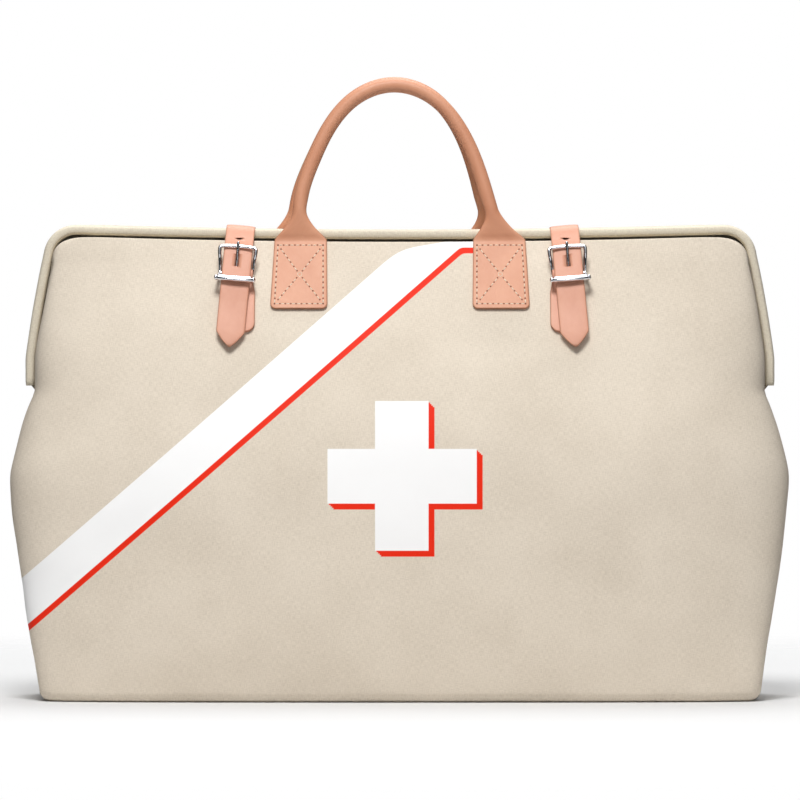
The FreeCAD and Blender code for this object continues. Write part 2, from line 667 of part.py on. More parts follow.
def strap_nodes(front, rear):
    nodes = {}
    for side, x in STRAP_X.items():
        outward = 1 if x > 0 else -1
        frame = front.placement(x, BUCKLE_Z, outward * STRAP_SPLAY)
        nodes[f"{side}_strap"] = strap(front, x, frame)
        nodes[f"{side}_buckle_chape"] = chape(front, x, frame)
        for name, shape in (("buckle_frame", buckle_frame_wire()), ("buckle_prong", prong()),
                            ("buckle_roller", roller())):
            shape.Placement = frame
            nodes[f"{side}_{name}"] = shape
        anchor_x = x - outward * 3
        stations = [(z, 1.5) for z in (ANCHOR_Z[0], 335.0, 350.0, ANCHOR_Z[1])]
        anchor = ribbon(wall_points(rear, anchor_x, stations), STRAP_THICKNESS, STRAP_WIDTH, anchor_x)
        nodes[f"{side}_strap_anchor"] = anchor
        for name, point in (("middle bar", Vector(0, 0, BAR_LIFT)),
                            ("roller bar", Vector(0, FRAME_BOTTOM, FRAME_BOTTOM_LIFT))):
            place = frame.multVec(point)
            print(side, name, [round(v / 1000, 6) for v in place])
        print(side, "bar direction", [round(v, 6) for v in frame.Rotation.multVec(Vector(1, 0, 0))])
    return nodes


# ---------------------------------------------------------------- the bag

def build():
    front = Wall(-1)
    rear = Wall(1)
    nodes = body_nodes()
    walls = nodes["front_panel"].fuse(nodes["rear_panel"])
    for side in ("left", "right"):
        nodes[f"{side}_end_tab"] = end_tab(side, walls)
    nodes.update(hoop_nodes())
    nodes["front_upper_panel"] = front.panel()
    nodes["rear_upper_panel"] = rear.panel()
    for side, x in (("left", -PATCH_X), ("right", PATCH_X)):
        nodes[f"front_patch_{side}"] = handle_patch(front, x)
        nodes[f"rear_patch_{side}"] = handle_patch(rear, x + REAR_HANDLE_SHIFT)
    nodes.update(handle_nodes("front", FRONT_FOLD, -HANDLE_TOP_Y, 0.0))
    nodes.update(handle_nodes("rear", REAR_FOLD, HANDLE_TOP_Y, REAR_HANDLE_SHIFT))
    nodes.update(strap_nodes(front, rear))
    return nodes


os.makedirs("parts", exist_ok=True)
for name, shape in build().items():
    shape.exportStep(f"parts/{name}.step")
    print(name, "valid" if shape.isValid() else "NOT VALID", len(shape.Solids), round(shape.Volume, 1))
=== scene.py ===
import math

import bmesh
import bpy
import numpy as np
from mathutils import Matrix, Vector, noise


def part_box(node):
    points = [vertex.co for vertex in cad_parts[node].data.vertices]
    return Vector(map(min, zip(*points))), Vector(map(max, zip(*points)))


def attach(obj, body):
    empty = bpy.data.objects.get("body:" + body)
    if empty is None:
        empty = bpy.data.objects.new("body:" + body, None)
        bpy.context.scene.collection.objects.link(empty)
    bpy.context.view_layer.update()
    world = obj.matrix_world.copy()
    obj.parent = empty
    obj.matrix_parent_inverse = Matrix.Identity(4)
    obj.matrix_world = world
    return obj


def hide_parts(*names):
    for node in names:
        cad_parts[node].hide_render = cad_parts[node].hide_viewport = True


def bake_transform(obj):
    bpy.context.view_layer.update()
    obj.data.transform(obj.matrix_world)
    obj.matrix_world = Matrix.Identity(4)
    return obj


# A canvas doctor bag with natural leather handles and two buckled straps, built around its CAD frame.
# Metres. +Z up, front faces -Y, +X to the viewer's right, origin under the centre of the base.

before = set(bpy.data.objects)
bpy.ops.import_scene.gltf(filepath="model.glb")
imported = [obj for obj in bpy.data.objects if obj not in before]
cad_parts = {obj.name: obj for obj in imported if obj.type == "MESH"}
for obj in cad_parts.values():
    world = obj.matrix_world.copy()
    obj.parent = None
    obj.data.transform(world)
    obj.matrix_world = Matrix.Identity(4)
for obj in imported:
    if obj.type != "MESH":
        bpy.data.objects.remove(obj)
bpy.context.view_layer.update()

MM = 0.001

# ---------------- driving dimensions, close to the CAD part's

BELLY_HALF_LENGTH = 0.305
BELLY_Z = 0.177
BASE_NARROWING = 0.0240      # of the half length, from the belly down to the base
NOTCH_NARROWING = 0.0190     # and from the belly up to the notch under the hoop legs
NOTCH_Z = 0.240
BELLY_HALF_DEPTH = 0.095
BELLY_DEPTH_Z = 0.150
BASE_SHALLOWING = 0.019      # of the half depth, from the belly down to the base
END_HALF_DEPTH = 0.050
TUCK = 0.008
END_TAPER_Z = 0.250
LEG_BOTTOM_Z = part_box("rear_rim_sleeve")[0][2]
LEG_HALF_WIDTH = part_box("rear_rim_sleeve")[1][0]
LEG_STRAIGHT_Z = 0.268
LEG_LEAN = 0.0143            # how far a leg leans in by its top
CORNER_X = 0.255
CORNER_Z = 0.3466
CORNER_RADIUS = 0.026
HOOP_TOP_Z = 0.369
REAR_BAND = 0.008
FRONT_BAND = 0.007
FRONT_INSET = 0.0088
FRONT_CORNER_X = 0.246       # the front hoop's cloth turns its corner a little lower than the rim
FRONT_CORNER_Z = 0.3405
FRONT_CROWN_Z = 0.3605
REAR_SLEEVE_Y = (-0.012, 0.012)
FRONT_SLEEVE_Y = (-0.0162, 0.004)
CLOTH = 0.0016
BASE_CLOTH = 0.0009
CANVAS_STEP = 0.0048         # spacing of the canvas meshes

PATCH_X = 0.078
PATCH_LOW_Z = 0.306
PATCH_TOP_Z = 0.359
PATCH_FOOT_HALF = 0.0225
PATCH_TOP_HALF = 0.0205
PATCH_CORNER = 0.004
PATCH_HALF_THICKNESS = 0.0013
PATCH_FLARE = 0.0012         # how far the foot of a patch stands outside its top
HANDLE_REACH = 0.1216        # from the fold line to the top of the handle
HANDLE_LEAN = 0.0045
HANDLE_TOP_Y = 0.0066        # the two handles lean together at the top
GRIP_RADIUS = 0.0053
GRIP_FLARE = 0.0225          # height over which the flat leather rolls up into the grip
FOLD_LINE = {"front": Vector((0, -0.0198, 0.3616)), "rear": Vector((0, 0.0196, 0.3630))}
REAR_SHIFT = -0.0065         # the rear handle sits a little to the left
SADDLE_PITCH = 0.0043
SADDLE_THREAD = 0.00052      # radius of the thread in the leather

BUCKLE_Z = 0.332
STRAP_X = {"left": -0.1285, "right": 0.1325}
STRAP_SPLAY = math.radians(5)
STRAP_HALF = 0.01125
STRAP_LIFT = 0.0088          # of the strap's middle off the wall, under the buckle
BAR_LIFT = 0.0038            # of the buckle's middle bar off the wall
BAR_HALF = 0.0127
ROLLER_END = (0.0146, -0.0090, 0.0129)
PRONG_SLOT = (0.0032, 0.0104, 0.012)
PRONG_SLOT_PLACE = (0, 0.0087, 0.0095)

CAMERA_DISTANCE = 6.0
CAMERA_LENS = 342.5
CAMERA_AIM_Z = 0.2345
CAMERA_RISE = 0.10           # how far the camera stands above what it aims at


class Wall:
    """One canvas wall, side -1 in front and +1 behind, with the hoop face that it is drawn in to."""

    def __init__(self, side, face, top_z, corner_z, crown_z):
        self.side = side
        self.face = face
        self.top_z = top_z
        self.corner_z = corner_z
        self.crown_z = crown_z

    def half_depth(self, z):
        if z < BELLY_DEPTH_Z:
            return BELLY_HALF_DEPTH - BASE_SHALLOWING * (1 - z / BELLY_DEPTH_Z) ** 2 - tuck_inset(z)
        if z >= self.top_z:
            return self.face
        turn = math.pi / 2 * (z - BELLY_DEPTH_Z) / (self.top_z - BELLY_DEPTH_Z)
        return self.face + (BELLY_HALF_DEPTH - self.face) * math.cos(turn)

    def end_half_depth(self, z):
        share = max(0.0, 1 - z / END_TAPER_Z) ** 0.8
        return self.face + (END_HALF_DEPTH - self.face) * share - tuck_inset(z) / 2

    def half_width(self, z):
        """Half width of the cloth at height z, from the base up to the rounded corners of the hoop."""
        if z < NOTCH_Z:
            return body_half_length(z)
        leg = self.leg(z)
        return body_half_length(NOTCH_Z) + (leg - body_half_length(NOTCH_Z)) * smooth(z, NOTCH_Z, 0.252)

    def leg(self, z):
        if self.side > 0:
            return hoop_half_width(z, 0.0006)
        if z <= FRONT_CORNER_Z:
            return leg_half_width(z, FRONT_INSET)
        rise = min(1.0, (z - FRONT_CORNER_Z) / (FRONT_CROWN_Z - FRONT_CORNER_Z))
        reach = leg_half_width(FRONT_CORNER_Z, FRONT_INSET) - FRONT_CORNER_X
        return FRONT_CORNER_X + reach * (1 - rise ** 2.5) ** (1 / 2.5)

    def surface_y(self, x, z):
        share = max(0.0, 1 - min(1.0, abs(x) / self.leg(z)) ** 2.8) ** (1 / 2.8)
        return self.side * (self.face + (self.half_depth(z) - self.face) * share)

    def point(self, x, z, lift=0.0):
        """Point lifted off the wall along its normal in the plane of x, with the wall's rise and normal."""
        step = 0.001
        slope = (self.surface_y(x, z + step) - self.surface_y(x, z - step)) / (2 * step)
        rise = Vector((0, slope, 1)).normalized()
        normal = Vector((0, self.side * rise.z, -self.side * rise.y))
        return Vector((x, self.surface_y(x, z), z)) + normal * lift, rise, normal

    def placement(self, x, z, turn):
        """Local frame on the wall: first axis across, second up the wall, third outwards."""
        place, rise, normal = self.point(x, z)
        across = rise.cross(normal)
        axes = Matrix((across, rise, normal)).transposed()
        return Matrix.Translation(place) @ axes.to_4x4() @ Matrix.Rotation(turn, 4, "Z")


def smooth(value, low, high):
    share = min(1.0, max(0.0, (value - low) / (high - low)))
    return share * share * (3 - 2 * share)


def tuck_inset(z):
    if z >= TUCK:
        return 0.0
    rise = 1 - z / TUCK
    return TUCK * (1 - math.sqrt(1 - rise * rise * 0.98))


def body_half_length(z):
    if z < BELLY_Z:
        narrowing = BASE_NARROWING * (1 - z / BELLY_Z) ** 1.3
    else:
        narrowing = NOTCH_NARROWING * ((min(z, NOTCH_Z) - BELLY_Z) / (NOTCH_Z - BELLY_Z)) ** 1.4
    return BELLY_HALF_LENGTH - narrowing - tuck_inset(z)


def leg_half_width(z, inset):
    if z <= LEG_STRAIGHT_Z:
        return LEG_HALF_WIDTH - inset
    lean = (z - LEG_STRAIGHT_Z) / (CORNER_Z + 0.004 - LEG_STRAIGHT_Z)
    return LEG_HALF_WIDTH - inset - LEG_LEAN * (0.75 * lean + 0.25 * lean * lean)


def hoop_half_width(z, inset):
    """The rear hoop's outline, with its corners."""
    radius = CORNER_RADIUS - inset
    if z < CORNER_Z + radius * math.sin(math.radians(8.5)):
        return leg_half_width(z, inset)
    rise = min(1.0, (z - CORNER_Z) / radius)
    return CORNER_X + radius * math.sqrt(max(0.0, 1 - rise * rise))


FRONT = Wall(-1, 0.0175, 0.360, FRONT_CORNER_Z, FRONT_CROWN_Z)
REAR = Wall(1, 0.0135, 0.370, CORNER_Z, CORNER_Z + CORNER_RADIUS)


# ---------------- mesh helpers

def new_mesh(name, points, faces, materials, face_slots=None, uvs=None):
    """Object from points and faces. uvs maps a layer's name to one (u, v) for each point."""
    mesh = bpy.data.meshes.new(name)
    mesh.from_pydata([tuple(p) for p in points], [], faces)
    for material in materials:
        mesh.materials.append(material)
    for layer_name, values in (uvs or {}).items():
        layer = mesh.uv_layers.new(name=layer_name)
        for loop in mesh.loops:
            layer.data[loop.index].uv = values[loop.vertex_index]
    for index, polygon in enumerate(mesh.polygons):
        polygon.use_smooth = True
        if face_slots:
            polygon.material_index = face_slots[index]
    obj = bpy.data.objects.new(name, mesh)
    bpy.context.scene.collection.objects.link(obj)
    return obj


def add_point_value(obj, name, values):
    attribute = obj.data.attributes.new(name, "FLOAT", "POINT")
    attribute.data.foreach_set("value", np.asarray(values, np.float32))


def apply_modifiers(obj):
    """Replace the object's mesh by the one its modifiers give."""
    bpy.context.view_layer.update()
    evaluated = obj.evaluated_get(bpy.context.evaluated_depsgraph_get())
    mesh = bpy.data.meshes.new_from_object(evaluated)
    obj.modifiers.clear()
    obj.data = mesh
    return obj


def face_outward(obj, merge=None):
    """Turn the faces outward, after merging the points that are closer than the merge distance."""
    work = bmesh.new()
    work.from_mesh(obj.data)
    if merge:
        bmesh.ops.remove_doubles(work, verts=work.verts, dist=merge)
        bmesh.ops.dissolve_degenerate(work, edges=work.edges, dist=merge)
    bmesh.ops.recalc_face_normals(work, faces=work.faces)
    work.to_mesh(obj.data)
    work.free()
    return obj


def thicken(obj, thickness):
    """Give a sheet its cloth thickness inwards, with the lining's material on the inside."""
    solid = obj.modifiers.new("thickness", "SOLIDIFY")
    solid.thickness = thickness
    solid.offset = -1.0
    solid.material_offset = 1
    return apply_modifiers(obj)


def grid_faces(rows, columns):
    faces = []
    for row in range(rows - 1):
        for column in range(columns - 1):
            a = row * columns + column
            faces.append((a, a + 1, a + columns + 1, a + columns))
    return faces


def curve_through(points, count):
    """Points spaced evenly along a natural cubic spline through the given ones, with unit tangents."""
    points = np.array([tuple(p) for p in points], float)
    gaps = np.linalg.norm(np.diff(points, axis=0), axis=1)
    at = np.concatenate([[0], np.cumsum(gaps)])
    size = len(points)
    system = np.zeros((size, size))
    target = np.zeros_like(points)
    system[0, 0] = system[-1, -1] = 1
    for i in range(1, size - 1):
        system[i, i - 1] = gaps[i - 1]
        system[i, i] = 2 * (gaps[i - 1] + gaps[i])
        system[i, i + 1] = gaps[i]
        target[i] = 6 * ((points[i + 1] - points[i]) / gaps[i] - (points[i] - points[i - 1]) / gaps[i - 1])
    bend = np.linalg.solve(system, target)

    def value(s):
        i = min(size - 2, max(0, int(np.searchsorted(at, s) - 1)))
        a, b, h = at[i + 1] - s, s - at[i], gaps[i]
        return (bend[i] * a ** 3 / (6 * h) + bend[i + 1] * b ** 3 / (6 * h)
                + (points[i] / h - bend[i] * h / 6) * a + (points[i + 1] / h - bend[i + 1] * h / 6) * b)

    dense = np.array([value(s) for s in np.linspace(0, at[-1], 600)])
    run = np.concatenate([[0], np.cumsum(np.linalg.norm(np.diff(dense, axis=0), axis=1))])
    wanted = np.linspace(0, run[-1], count)
    even = np.stack([np.interp(wanted, run, dense[:, k]) for k in range(3)], axis=1)
    tangents = np.gradient(even, axis=0)
    tangents /= np.linalg.norm(tangents, axis=1)[:, None]
    return even, tangents, wanted


def rounded_section(half_width, half_thickness, power, count):
    """Superellipse ring, first point at +width."""
    turns = np.arange(count) * 2 * math.pi / count
    cosine, sine = np.cos(turns), np.sin(turns)
    return np.stack([np.sign(cosine) * np.abs(cosine) ** (2 / power) * half_width,
                     np.sign(sine) * np.abs(sine) ** (2 / power) * half_thickness], axis=1)


def loft(name, rings, runs, materials):
    """Closed skin over a row of rings with the same number of points. Ends are closed by flat faces."""
    count = len(rings[0])
    points = [tuple(p) for ring in rings for p in ring]
    faces = []
    for level in range(len(rings) - 1):
        for k in range(count):
            a = level * count + k
            b = level * count + (k + 1) % count
            faces.append((a, b, b + count, a + count))
    faces.append(tuple(range(count))[::-1])
    last = (len(rings) - 1) * count
    faces.append(tuple(range(last, last + count)))
    around = []
    for ring in rings:
        sizes = np.linalg.norm(np.diff(np.array(ring), axis=0, prepend=[ring[-1]]), axis=1)
        around.append(np.cumsum(sizes) - sizes[0])
    uvs = [(around[level][k], runs[level]) for level in range(len(rings)) for k in range(count)]
    return face_outward(new_mesh(name, points, faces, materials, uvs={"surface": uvs}))


class Thread:
    """Rows of sewn stitches: short sunk capsules of thread, with a needle hole between each two, shown as a
    dark disc of painted shade.
    """

    def __init__(self):
        self.points = []
        self.faces = []
        self.slots = []

    def ring(self, centre, side, up, radius, count):
        start = len(self.points)
        for k in range(count):
            turn = 2 * math.pi * k / count
            self.points.append(centre + side * (radius * math.cos(turn)) + up * (radius * math.sin(turn)))
        return list(range(start, start + count))

    def stitch(self, start, end, normal, radius):
        along = (end - start).normalized()
        side = along.cross(normal).normalized()
        rings = []
        for share, size, sink in ((0, 0.35, 1.1), (0.14, 0.8, 0.55), (0.5, 1.0, 0.1), (0.86, 0.8, 0.55),
                                  (1, 0.35, 1.1)):
            centre = start.lerp(end, share) - normal * (sink * radius)
            rings.append(self.ring(centre, side, normal, radius * size, 6))
        for low, high in zip(rings, rings[1:]):
            for k in range(6):
                self.faces.append((low[k], low[(k + 1) % 6], high[(k + 1) % 6], high[k]))
                self.slots.append(0)
        self.faces += [tuple(rings[0][::-1]), tuple(rings[-1])]
        self.slots += [0, 0]

    # a needle hole is drawn as a thin dark disc on the surface: painted shade standing in for the hollow of
    # the hole
    def hole(self, centre, normal, radius):
        side = normal.orthogonal().normalized()
        up = normal.cross(side)
        rim = self.ring(centre + normal * (0.06 * MM), side, up, radius, 8)
        lip = self.ring(centre + normal * (0.16 * MM), side, up, radius * 0.45, 8)
        for k in range(8):
            self.faces.append((rim[k], rim[(k + 1) % 8], lip[(k + 1) % 8], lip[k]))
        self.faces.append(tuple(lip))
        self.slots += [1] * 9

    def row(self, place, start, end, pitch, radius, holes=True):
        """Stitches along a straight row. place(u, v) gives the point and normal on the surface."""
        start, end = Vector(start), Vector(end)
        count = max(1, round((end - start).length / pitch))
        for k in range(count):
            low = start.lerp(end, (k + 0.14) / count)
            high = start.lerp(end, (k + 0.86) / count)
            (a, normal), (b, _) = place(*low), place(*high)
            self.stitch(a, b, normal, radius)
        if holes:
            for k in range(count + 1):
                centre, normal = place(*start.lerp(end, k / count))
                self.hole(centre, normal, radius * 1.4)

    def finish(self, name, materials):
        return new_mesh(name, self.points, self.faces, materials, self.slots)


# ---------------- materials

class Nodes:
    """Short way to write a node tree."""

    def __init__(self, tree):
        self.tree = tree
        tree.nodes.clear()

    def add(self, kind):
        return self.tree.nodes.new("ShaderNode" + kind)

    def link(self, source, target):
        self.tree.links.new(source, target)

    def put(self, target, value):
        if hasattr(value, "is_output"):
            self.link(value, target)
        else:
            target.default_value = value

    def uv(self, layer):
        node = self.add("UVMap")
        node.uv_map = layer
        return node.outputs[0]

    def object_place(self):
        return self.add("TexCoord").outputs["Object"]

    def value_of(self, attribute):
        node = self.add("Attribute")
        node.attribute_name = attribute
        return node.outputs["Fac"]

    def math(self, operation, a, b=0.0, c=0.0):
        node = self.add("Math")
        node.operation = operation
        for socket, value in zip(node.inputs, (a, b, c)):
            self.put(socket, value)
        return node.outputs[0]

    def times(self, a, b):
        return self.math("MULTIPLY", a, b)

    def plus(self, a, b):
        return self.math("ADD", a, b)

    def minus(self, a, b):
        return self.math("SUBTRACT", a, b)

    def larger(self, a, b):
        return self.math("MAXIMUM", a, b)

    def split(self, vector):
        node = self.add("SeparateXYZ")
        self.link(vector, node.inputs[0])
        return node.outputs[0], node.outputs[1], node.outputs[2]

    def stretch(self, vector, scale):
        node = self.add("Mapping")
        self.link(vector, node.inputs[0])
        node.inputs["Scale"].default_value = scale
        return node.outputs[0]

    def noise(self, vector, scale, detail=3.0, roughness=0.55):
        node = self.add("TexNoise")
        self.link(vector, node.inputs["Vector"])
        node.inputs["Scale"].default_value = scale
        node.inputs["Detail"].default_value = detail
        node.inputs["Roughness"].default_value = roughness
        return node.outputs["Fac"]

    def grain(self, vector, scale, detail=3.0, roughness=0.55):
        """Noise with its own scale along each axis."""
        return self.noise(self.stretch(vector, scale), 1.0, detail, roughness)

    def cells(self, vector, scale):
        node = self.add("TexVoronoi")
        node.feature = "DISTANCE_TO_EDGE"
        self.link(vector, node.inputs["Vector"])
        node.inputs["Scale"].default_value = scale
        return node.outputs["Distance"]

    def ramp(self, value, low, high, out_low=0.0, out_high=1.0):
        node = self.add("MapRange")
        for socket, number in zip(node.inputs, (value, low, high, out_low, out_high)):
            self.put(socket, number)
        return node.outputs[0]

    def mix(self, share, a, b):
        node = self.add("Mix")
        node.data_type = "RGBA"
        self.put(node.inputs[0], share)
        self.put(node.inputs[6], a)
        self.put(node.inputs[7], b)
        return node.outputs[2]

    def bump(self, height, distance, strength):
        node = self.add("Bump")
        node.inputs["Strength"].default_value = strength
        node.inputs["Distance"].default_value = distance
        self.link(height, node.inputs["Height"])
        return node.outputs[0]


class Material(Nodes):
    """A material with one principled shader."""

    def __init__(self, name):
        self.material = bpy.data.materials.new(name)
        self.material.use_nodes = True
        super().__init__(self.material.node_tree)
        self.shader = self.add("BsdfPrincipled")
        self.link(self.shader.outputs[0], self.add("OutputMaterial").inputs[0])

    def set(self, **values):
        for name, value in values.items():
            self.put(self.shader.inputs[name.replace("_", " ")], value)


def colour(red, green, blue):
    """Linear colour from a displayed one, 0 to 255."""
    channels = []
    for value in (red, green, blue):
        share = value / 255
        channels.append(share / 12.92 if share <= 0.04045 else ((share + 0.055) / 1.055) ** 2.4)
    return (*channels, 1.0)


CREAM = colour(230, 218, 201)
CREAM_DARK = colour(208, 195, 177)
CREAM_TAPE = colour(214, 202, 182)
PRINT_WHITE = colour(250, 249, 248)
PRINT_RED = colour(236, 40, 4)
LEATHER = colour(217, 156, 123)
LEATHER_WARM = colour(206, 141, 108)
LEATHER_EDGE = colour(142, 92, 66)


def weave(nodes, place, pitch):
    """Height of a plain weave: threads that pass over and under each other."""
    u, v, _ = nodes.split(place)
    across = nodes.times(u, math.pi / pitch)
    along = nodes.times(v, math.pi / pitch)
    warp = nodes.math("ABSOLUTE", nodes.math("SINE", across))
    weft = nodes.math("ABSOLUTE", nodes.math("SINE", along))
    turn = nodes.times(nodes.math("COSINE", across), nodes.math("COSINE", along))
    over = nodes.ramp(turn, -0.4, 0.4)
    lower = nodes.times(warp, over)
    upper = nodes.times(weft, nodes.minus(1.0, over))
    return nodes.plus(lower, upper)


def canvas_base(nodes, layer, light, dark):
    """Cotton canvas colour with slubs, soft mottling, a weave and painted shade in the weave's gaps.
    Returns the colour and height.
    """
    place = nodes.uv(layer)
    slub_u = nodes.grain(place, (260, 2400, 1), 2.0)
    slub_v = nodes.grain(place, (2400, 260, 1), 2.0)
    slubs = nodes.plus(slub_u, slub_v)
    mottle = nodes.grain(place, (14, 14, 1), 4.0)
    threads = weave(nodes, place, 0.00085)
    shade = nodes.plus(nodes.ramp(slubs, 0.82, 1.2, 0.0, 0.75), nodes.ramp(mottle, 0.35, 0.7, 0.0, 0.4))
    # painted shade: the low gaps between the weave's threads are darker and the thread crowns lighter
    shade = nodes.minus(shade, nodes.times(threads, 0.18))
    base = nodes.mix(nodes.larger(shade, 0.0), light, dark)
    height = nodes.plus(nodes.times(threads, 0.6), nodes.times(slubs, 0.35))
    return base, height


def canvas_material(name, layer="weave", light=CREAM, dark=CREAM_DARK):
    nodes = Material(name)
    base, height = canvas_base(nodes, layer, light, dark)
    nodes.set(Base_Color=base, Roughness=nodes.ramp(height, 0.2, 1.2, 0.92, 0.8),
              Normal=nodes.bump(height, 0.00012, 0.55), Sheen_Weight=0.12, Sheen_Roughness=0.5)
    return nodes.material


# Places of the print on the front wall, seen square on
CROSS_X = (-0.0197, 0.0225, -0.0572, 0.0605)     # upright arm, then cross bar
CROSS_Z = (0.1172, 0.2351, 0.1544, 0.1975)
DROP = 0.0047                                     # how far the red shade shows right of and below the cross
BAND_LOW = Vector((-0.2884, 0.0601))               # two points of the band's red edge line
BAND_HIGH = Vector((0.0383, 0.3440))
BAND_RED_HALF = 0.0023
BAND_WIDTH = 0.0328
BAND_RED_TOP_Z = 0.3528      # the red edge levels out here, close to the right patch
BAND_TOP_Z = 0.3538           # the upper edge runs out flatter, at this height in the middle of the bag
BAND_TOP_SLOPE = 0.16
BAND_BEND = 0.012            # size of the bend where the band's upper edge turns flatter


def inside(nodes, value, low, high):
    """1 between low and high with a hair of soft edge."""
    soft = 0.00025
    rise = nodes.ramp(value, low - soft, low + soft)
    fall = nodes.ramp(value, high - soft, high + soft, 1.0, 0.0)
    return nodes.times(rise, fall)


def cross_mask(nodes, x, z, shift):
    upright = nodes.times(inside(nodes, x, CROSS_X[0] + shift, CROSS_X[1] + shift),
                         inside(nodes, z, CROSS_Z[0] - shift, CROSS_Z[1] - shift))
    bar = nodes.times(inside(nodes, x, CROSS_X[2] + shift, CROSS_X[3] + shift),
                     inside(nodes, z, CROSS_Z[2] - shift, CROSS_Z[3] - shift))
    return nodes.larger(upright, bar)


def printed_canvas():
    """Canvas with a white cross on a red drop shade and a white diagonal band edged in red."""
    nodes = Material("canvas_printed")
    base, height = canvas_base(nodes, "weave", CREAM, CREAM_DARK)
    x, z, _ = nodes.split(nodes.uv("print"))
    along = (BAND_HIGH - BAND_LOW).normalized()
    normal = Vector((-along.y, along.x))
    offset = nodes.plus(nodes.times(x, normal.x), nodes.times(z, normal.y))
    offset = nodes.minus(offset, BAND_LOW.dot(normal))
    # near the right patch the red edge levels out, and the band's upper edge runs flatter
    level_red = nodes.minus(z, BAND_RED_TOP_Z)
    line = nodes.math("SMOOTH_MAX", offset, level_red, 0.003)
    red_line = inside(nodes, line, -BAND_RED_HALF, BAND_RED_HALF)
    band_low = nodes.ramp(line, BAND_RED_HALF - 0.00025, BAND_RED_HALF + 0.00025)
    upper = nodes.math("SMOOTH_MAX", nodes.minus(offset, BAND_WIDTH),
                       nodes.minus(nodes.minus(z, BAND_TOP_Z),
                                  nodes.times(x, BAND_TOP_SLOPE)), BAND_BEND)
    band_high = nodes.ramp(upper, -0.00025, 0.00025, 1.0, 0.0)
    band_end = nodes.ramp(x, PATCH_X - 0.002, PATCH_X, 1.0, 0.0)
    white_band = nodes.times(nodes.times(band_low, band_high), band_end)
    red_line = nodes.times(red_line, band_end)
    shade = cross_mask(nodes, x, z, DROP / 2)
    for share in (0.25, 0.5, 0.75, 1.0):
        shade = nodes.larger(shade, cross_mask(nodes, x, z, DROP * share))
    cross = cross_mask(nodes, x, z, 0.0)
    ink_wear = nodes.grain(nodes.uv("weave"), (900, 900, 1), 3.0)
    cover = nodes.ramp(ink_wear, 0.2, 0.36, 0.9, 1.0)
    white = nodes.times(nodes.larger(cross, white_band), cover)
    red = nodes.times(nodes.larger(shade, red_line), cover)
    inked = nodes.mix(red, base, PRINT_RED)
    inked = nodes.mix(white, inked, PRINT_WHITE)
    ink = nodes.larger(white, red)
    nodes.set(Base_Color=inked, Roughness=nodes.ramp(ink, 0.0, 1.0, 0.88, 0.6),
              Normal=nodes.bump(height, 0.00012, 0.5), Specular_IOR_Level=0.2)
    return nodes.material


def leather_material(name, light, dark):
    """Vegetable-tanned leather: pores, fine creases, blotches and burnished edges."""
    nodes = Material(name)
    place = nodes.uv("surface")
    blotches = nodes.grain(place, (38, 22, 1), 4.0)
    pores = nodes.cells(nodes.stretch(place, (1150, 1150, 1)), 1.0)
    creases = nodes.grain(place, (900, 320, 1), 5.0, 0.65)
    skin = nodes.mix(nodes.ramp(blotches, 0.32, 0.7), light, dark)
    skin = nodes.mix(nodes.ramp(creases, 0.42, 0.75, 0.0, 0.22), skin, dark)
    edge = nodes.math("POWER", nodes.value_of("edge"), 1.4)
    worn = nodes.times(edge, nodes.ramp(blotches, 0.2, 0.8, 0.7, 1.0))
    skin = nodes.mix(worn, skin, LEATHER_EDGE)
    height = nodes.plus(nodes.ramp(pores, 0.0, 0.25, 0.0, 0.5), nodes.times(creases, 0.8))
    nodes.set(Base_Color=skin, Roughness=nodes.ramp(creases, 0.3, 0.8, 0.42, 0.62),
              Normal=nodes.bump(height, 0.00015, 0.5), Coat_Weight=0.06, Coat_Roughness=0.35,
              Specular_IOR_Level=0.45)
    return nodes.material


def thread_material(name, tint):
    nodes = Material(name)
    place = nodes.object_place()
    twist = nodes.grain(place, (2600, 2600, 5200), 2.0)
    nodes.set(Base_Color=nodes.mix(nodes.ramp(twist, 0.35, 0.65), tint, CREAM_DARK), Roughness=0.7,
              Normal=nodes.bump(twist, 0.0001, 0.6), Sheen_Weight=0.1)
    return nodes.material


# dark brown with grit for the needle-hole discs: painted shade of the holes' hollows
def hole_shade_material():
    nodes = Material("needle_hole_shade")
    grit = nodes.noise(nodes.object_place(), 2500.0, 2.0)
    nodes.set(Base_Color=nodes.mix(grit, colour(120, 72, 52), colour(150, 96, 70)), Roughness=0.9)
    return nodes.material


def metal_material(name, tint, roughness):
    """Plated metal with fine drag lines and a few rubbed places."""
    nodes = Material(name)
    place = nodes.object_place()
    lines = nodes.grain(place, (200, 2600, 2600), 3.0)
    rubs = nodes.noise(place, 220.0, 4.0)
    nodes.set(Base_Color=nodes.mix(nodes.ramp(rubs, 0.45, 0.75, 0.0, 0.5), tint, colour(176, 178, 184)),
              Metallic=1.0, Roughness=nodes.ramp(rubs, 0.35, 0.75, roughness, roughness + 0.14),
              Normal=nodes.bump(lines, 0.00004, 0.25))
    return nodes.material


def board_material():
    nodes = Material("fibreboard")
    place = nodes.object_place()
    flecks = nodes.grain(place, (700, 160, 400), 5.0)
    nodes.set(Base_Color=nodes.mix(nodes.ramp(flecks, 0.3, 0.7), colour(150, 118, 84), colour(112, 84, 58)),
              Roughness=nodes.ramp(flecks, 0.3, 0.7, 0.75, 0.9), Normal=nodes.bump(flecks, 0.0003, 0.6))
    return nodes.material


def solid_canvas(name, tint, dark):
    """Canvas for CAD solids, woven in object coordinates."""
    nodes = Material(name)
    place = nodes.object_place()
    u, v, w = nodes.split(place)
    height = nodes.times(nodes.math("SINE", nodes.times(nodes.plus(u, v), 3600.0)),
                        nodes.math("SINE", nodes.times(w, 3600.0)))
    slubs = nodes.grain(place, (400, 400, 900), 3.0)
    nodes.set(Base_Color=nodes.mix(nodes.ramp(slubs, 0.3, 0.7), tint, dark), Roughness=0.88,
              Normal=nodes.bump(nodes.plus(height, slubs), 0.0001, 0.5), Sheen_Weight=0.1)
    return nodes.material


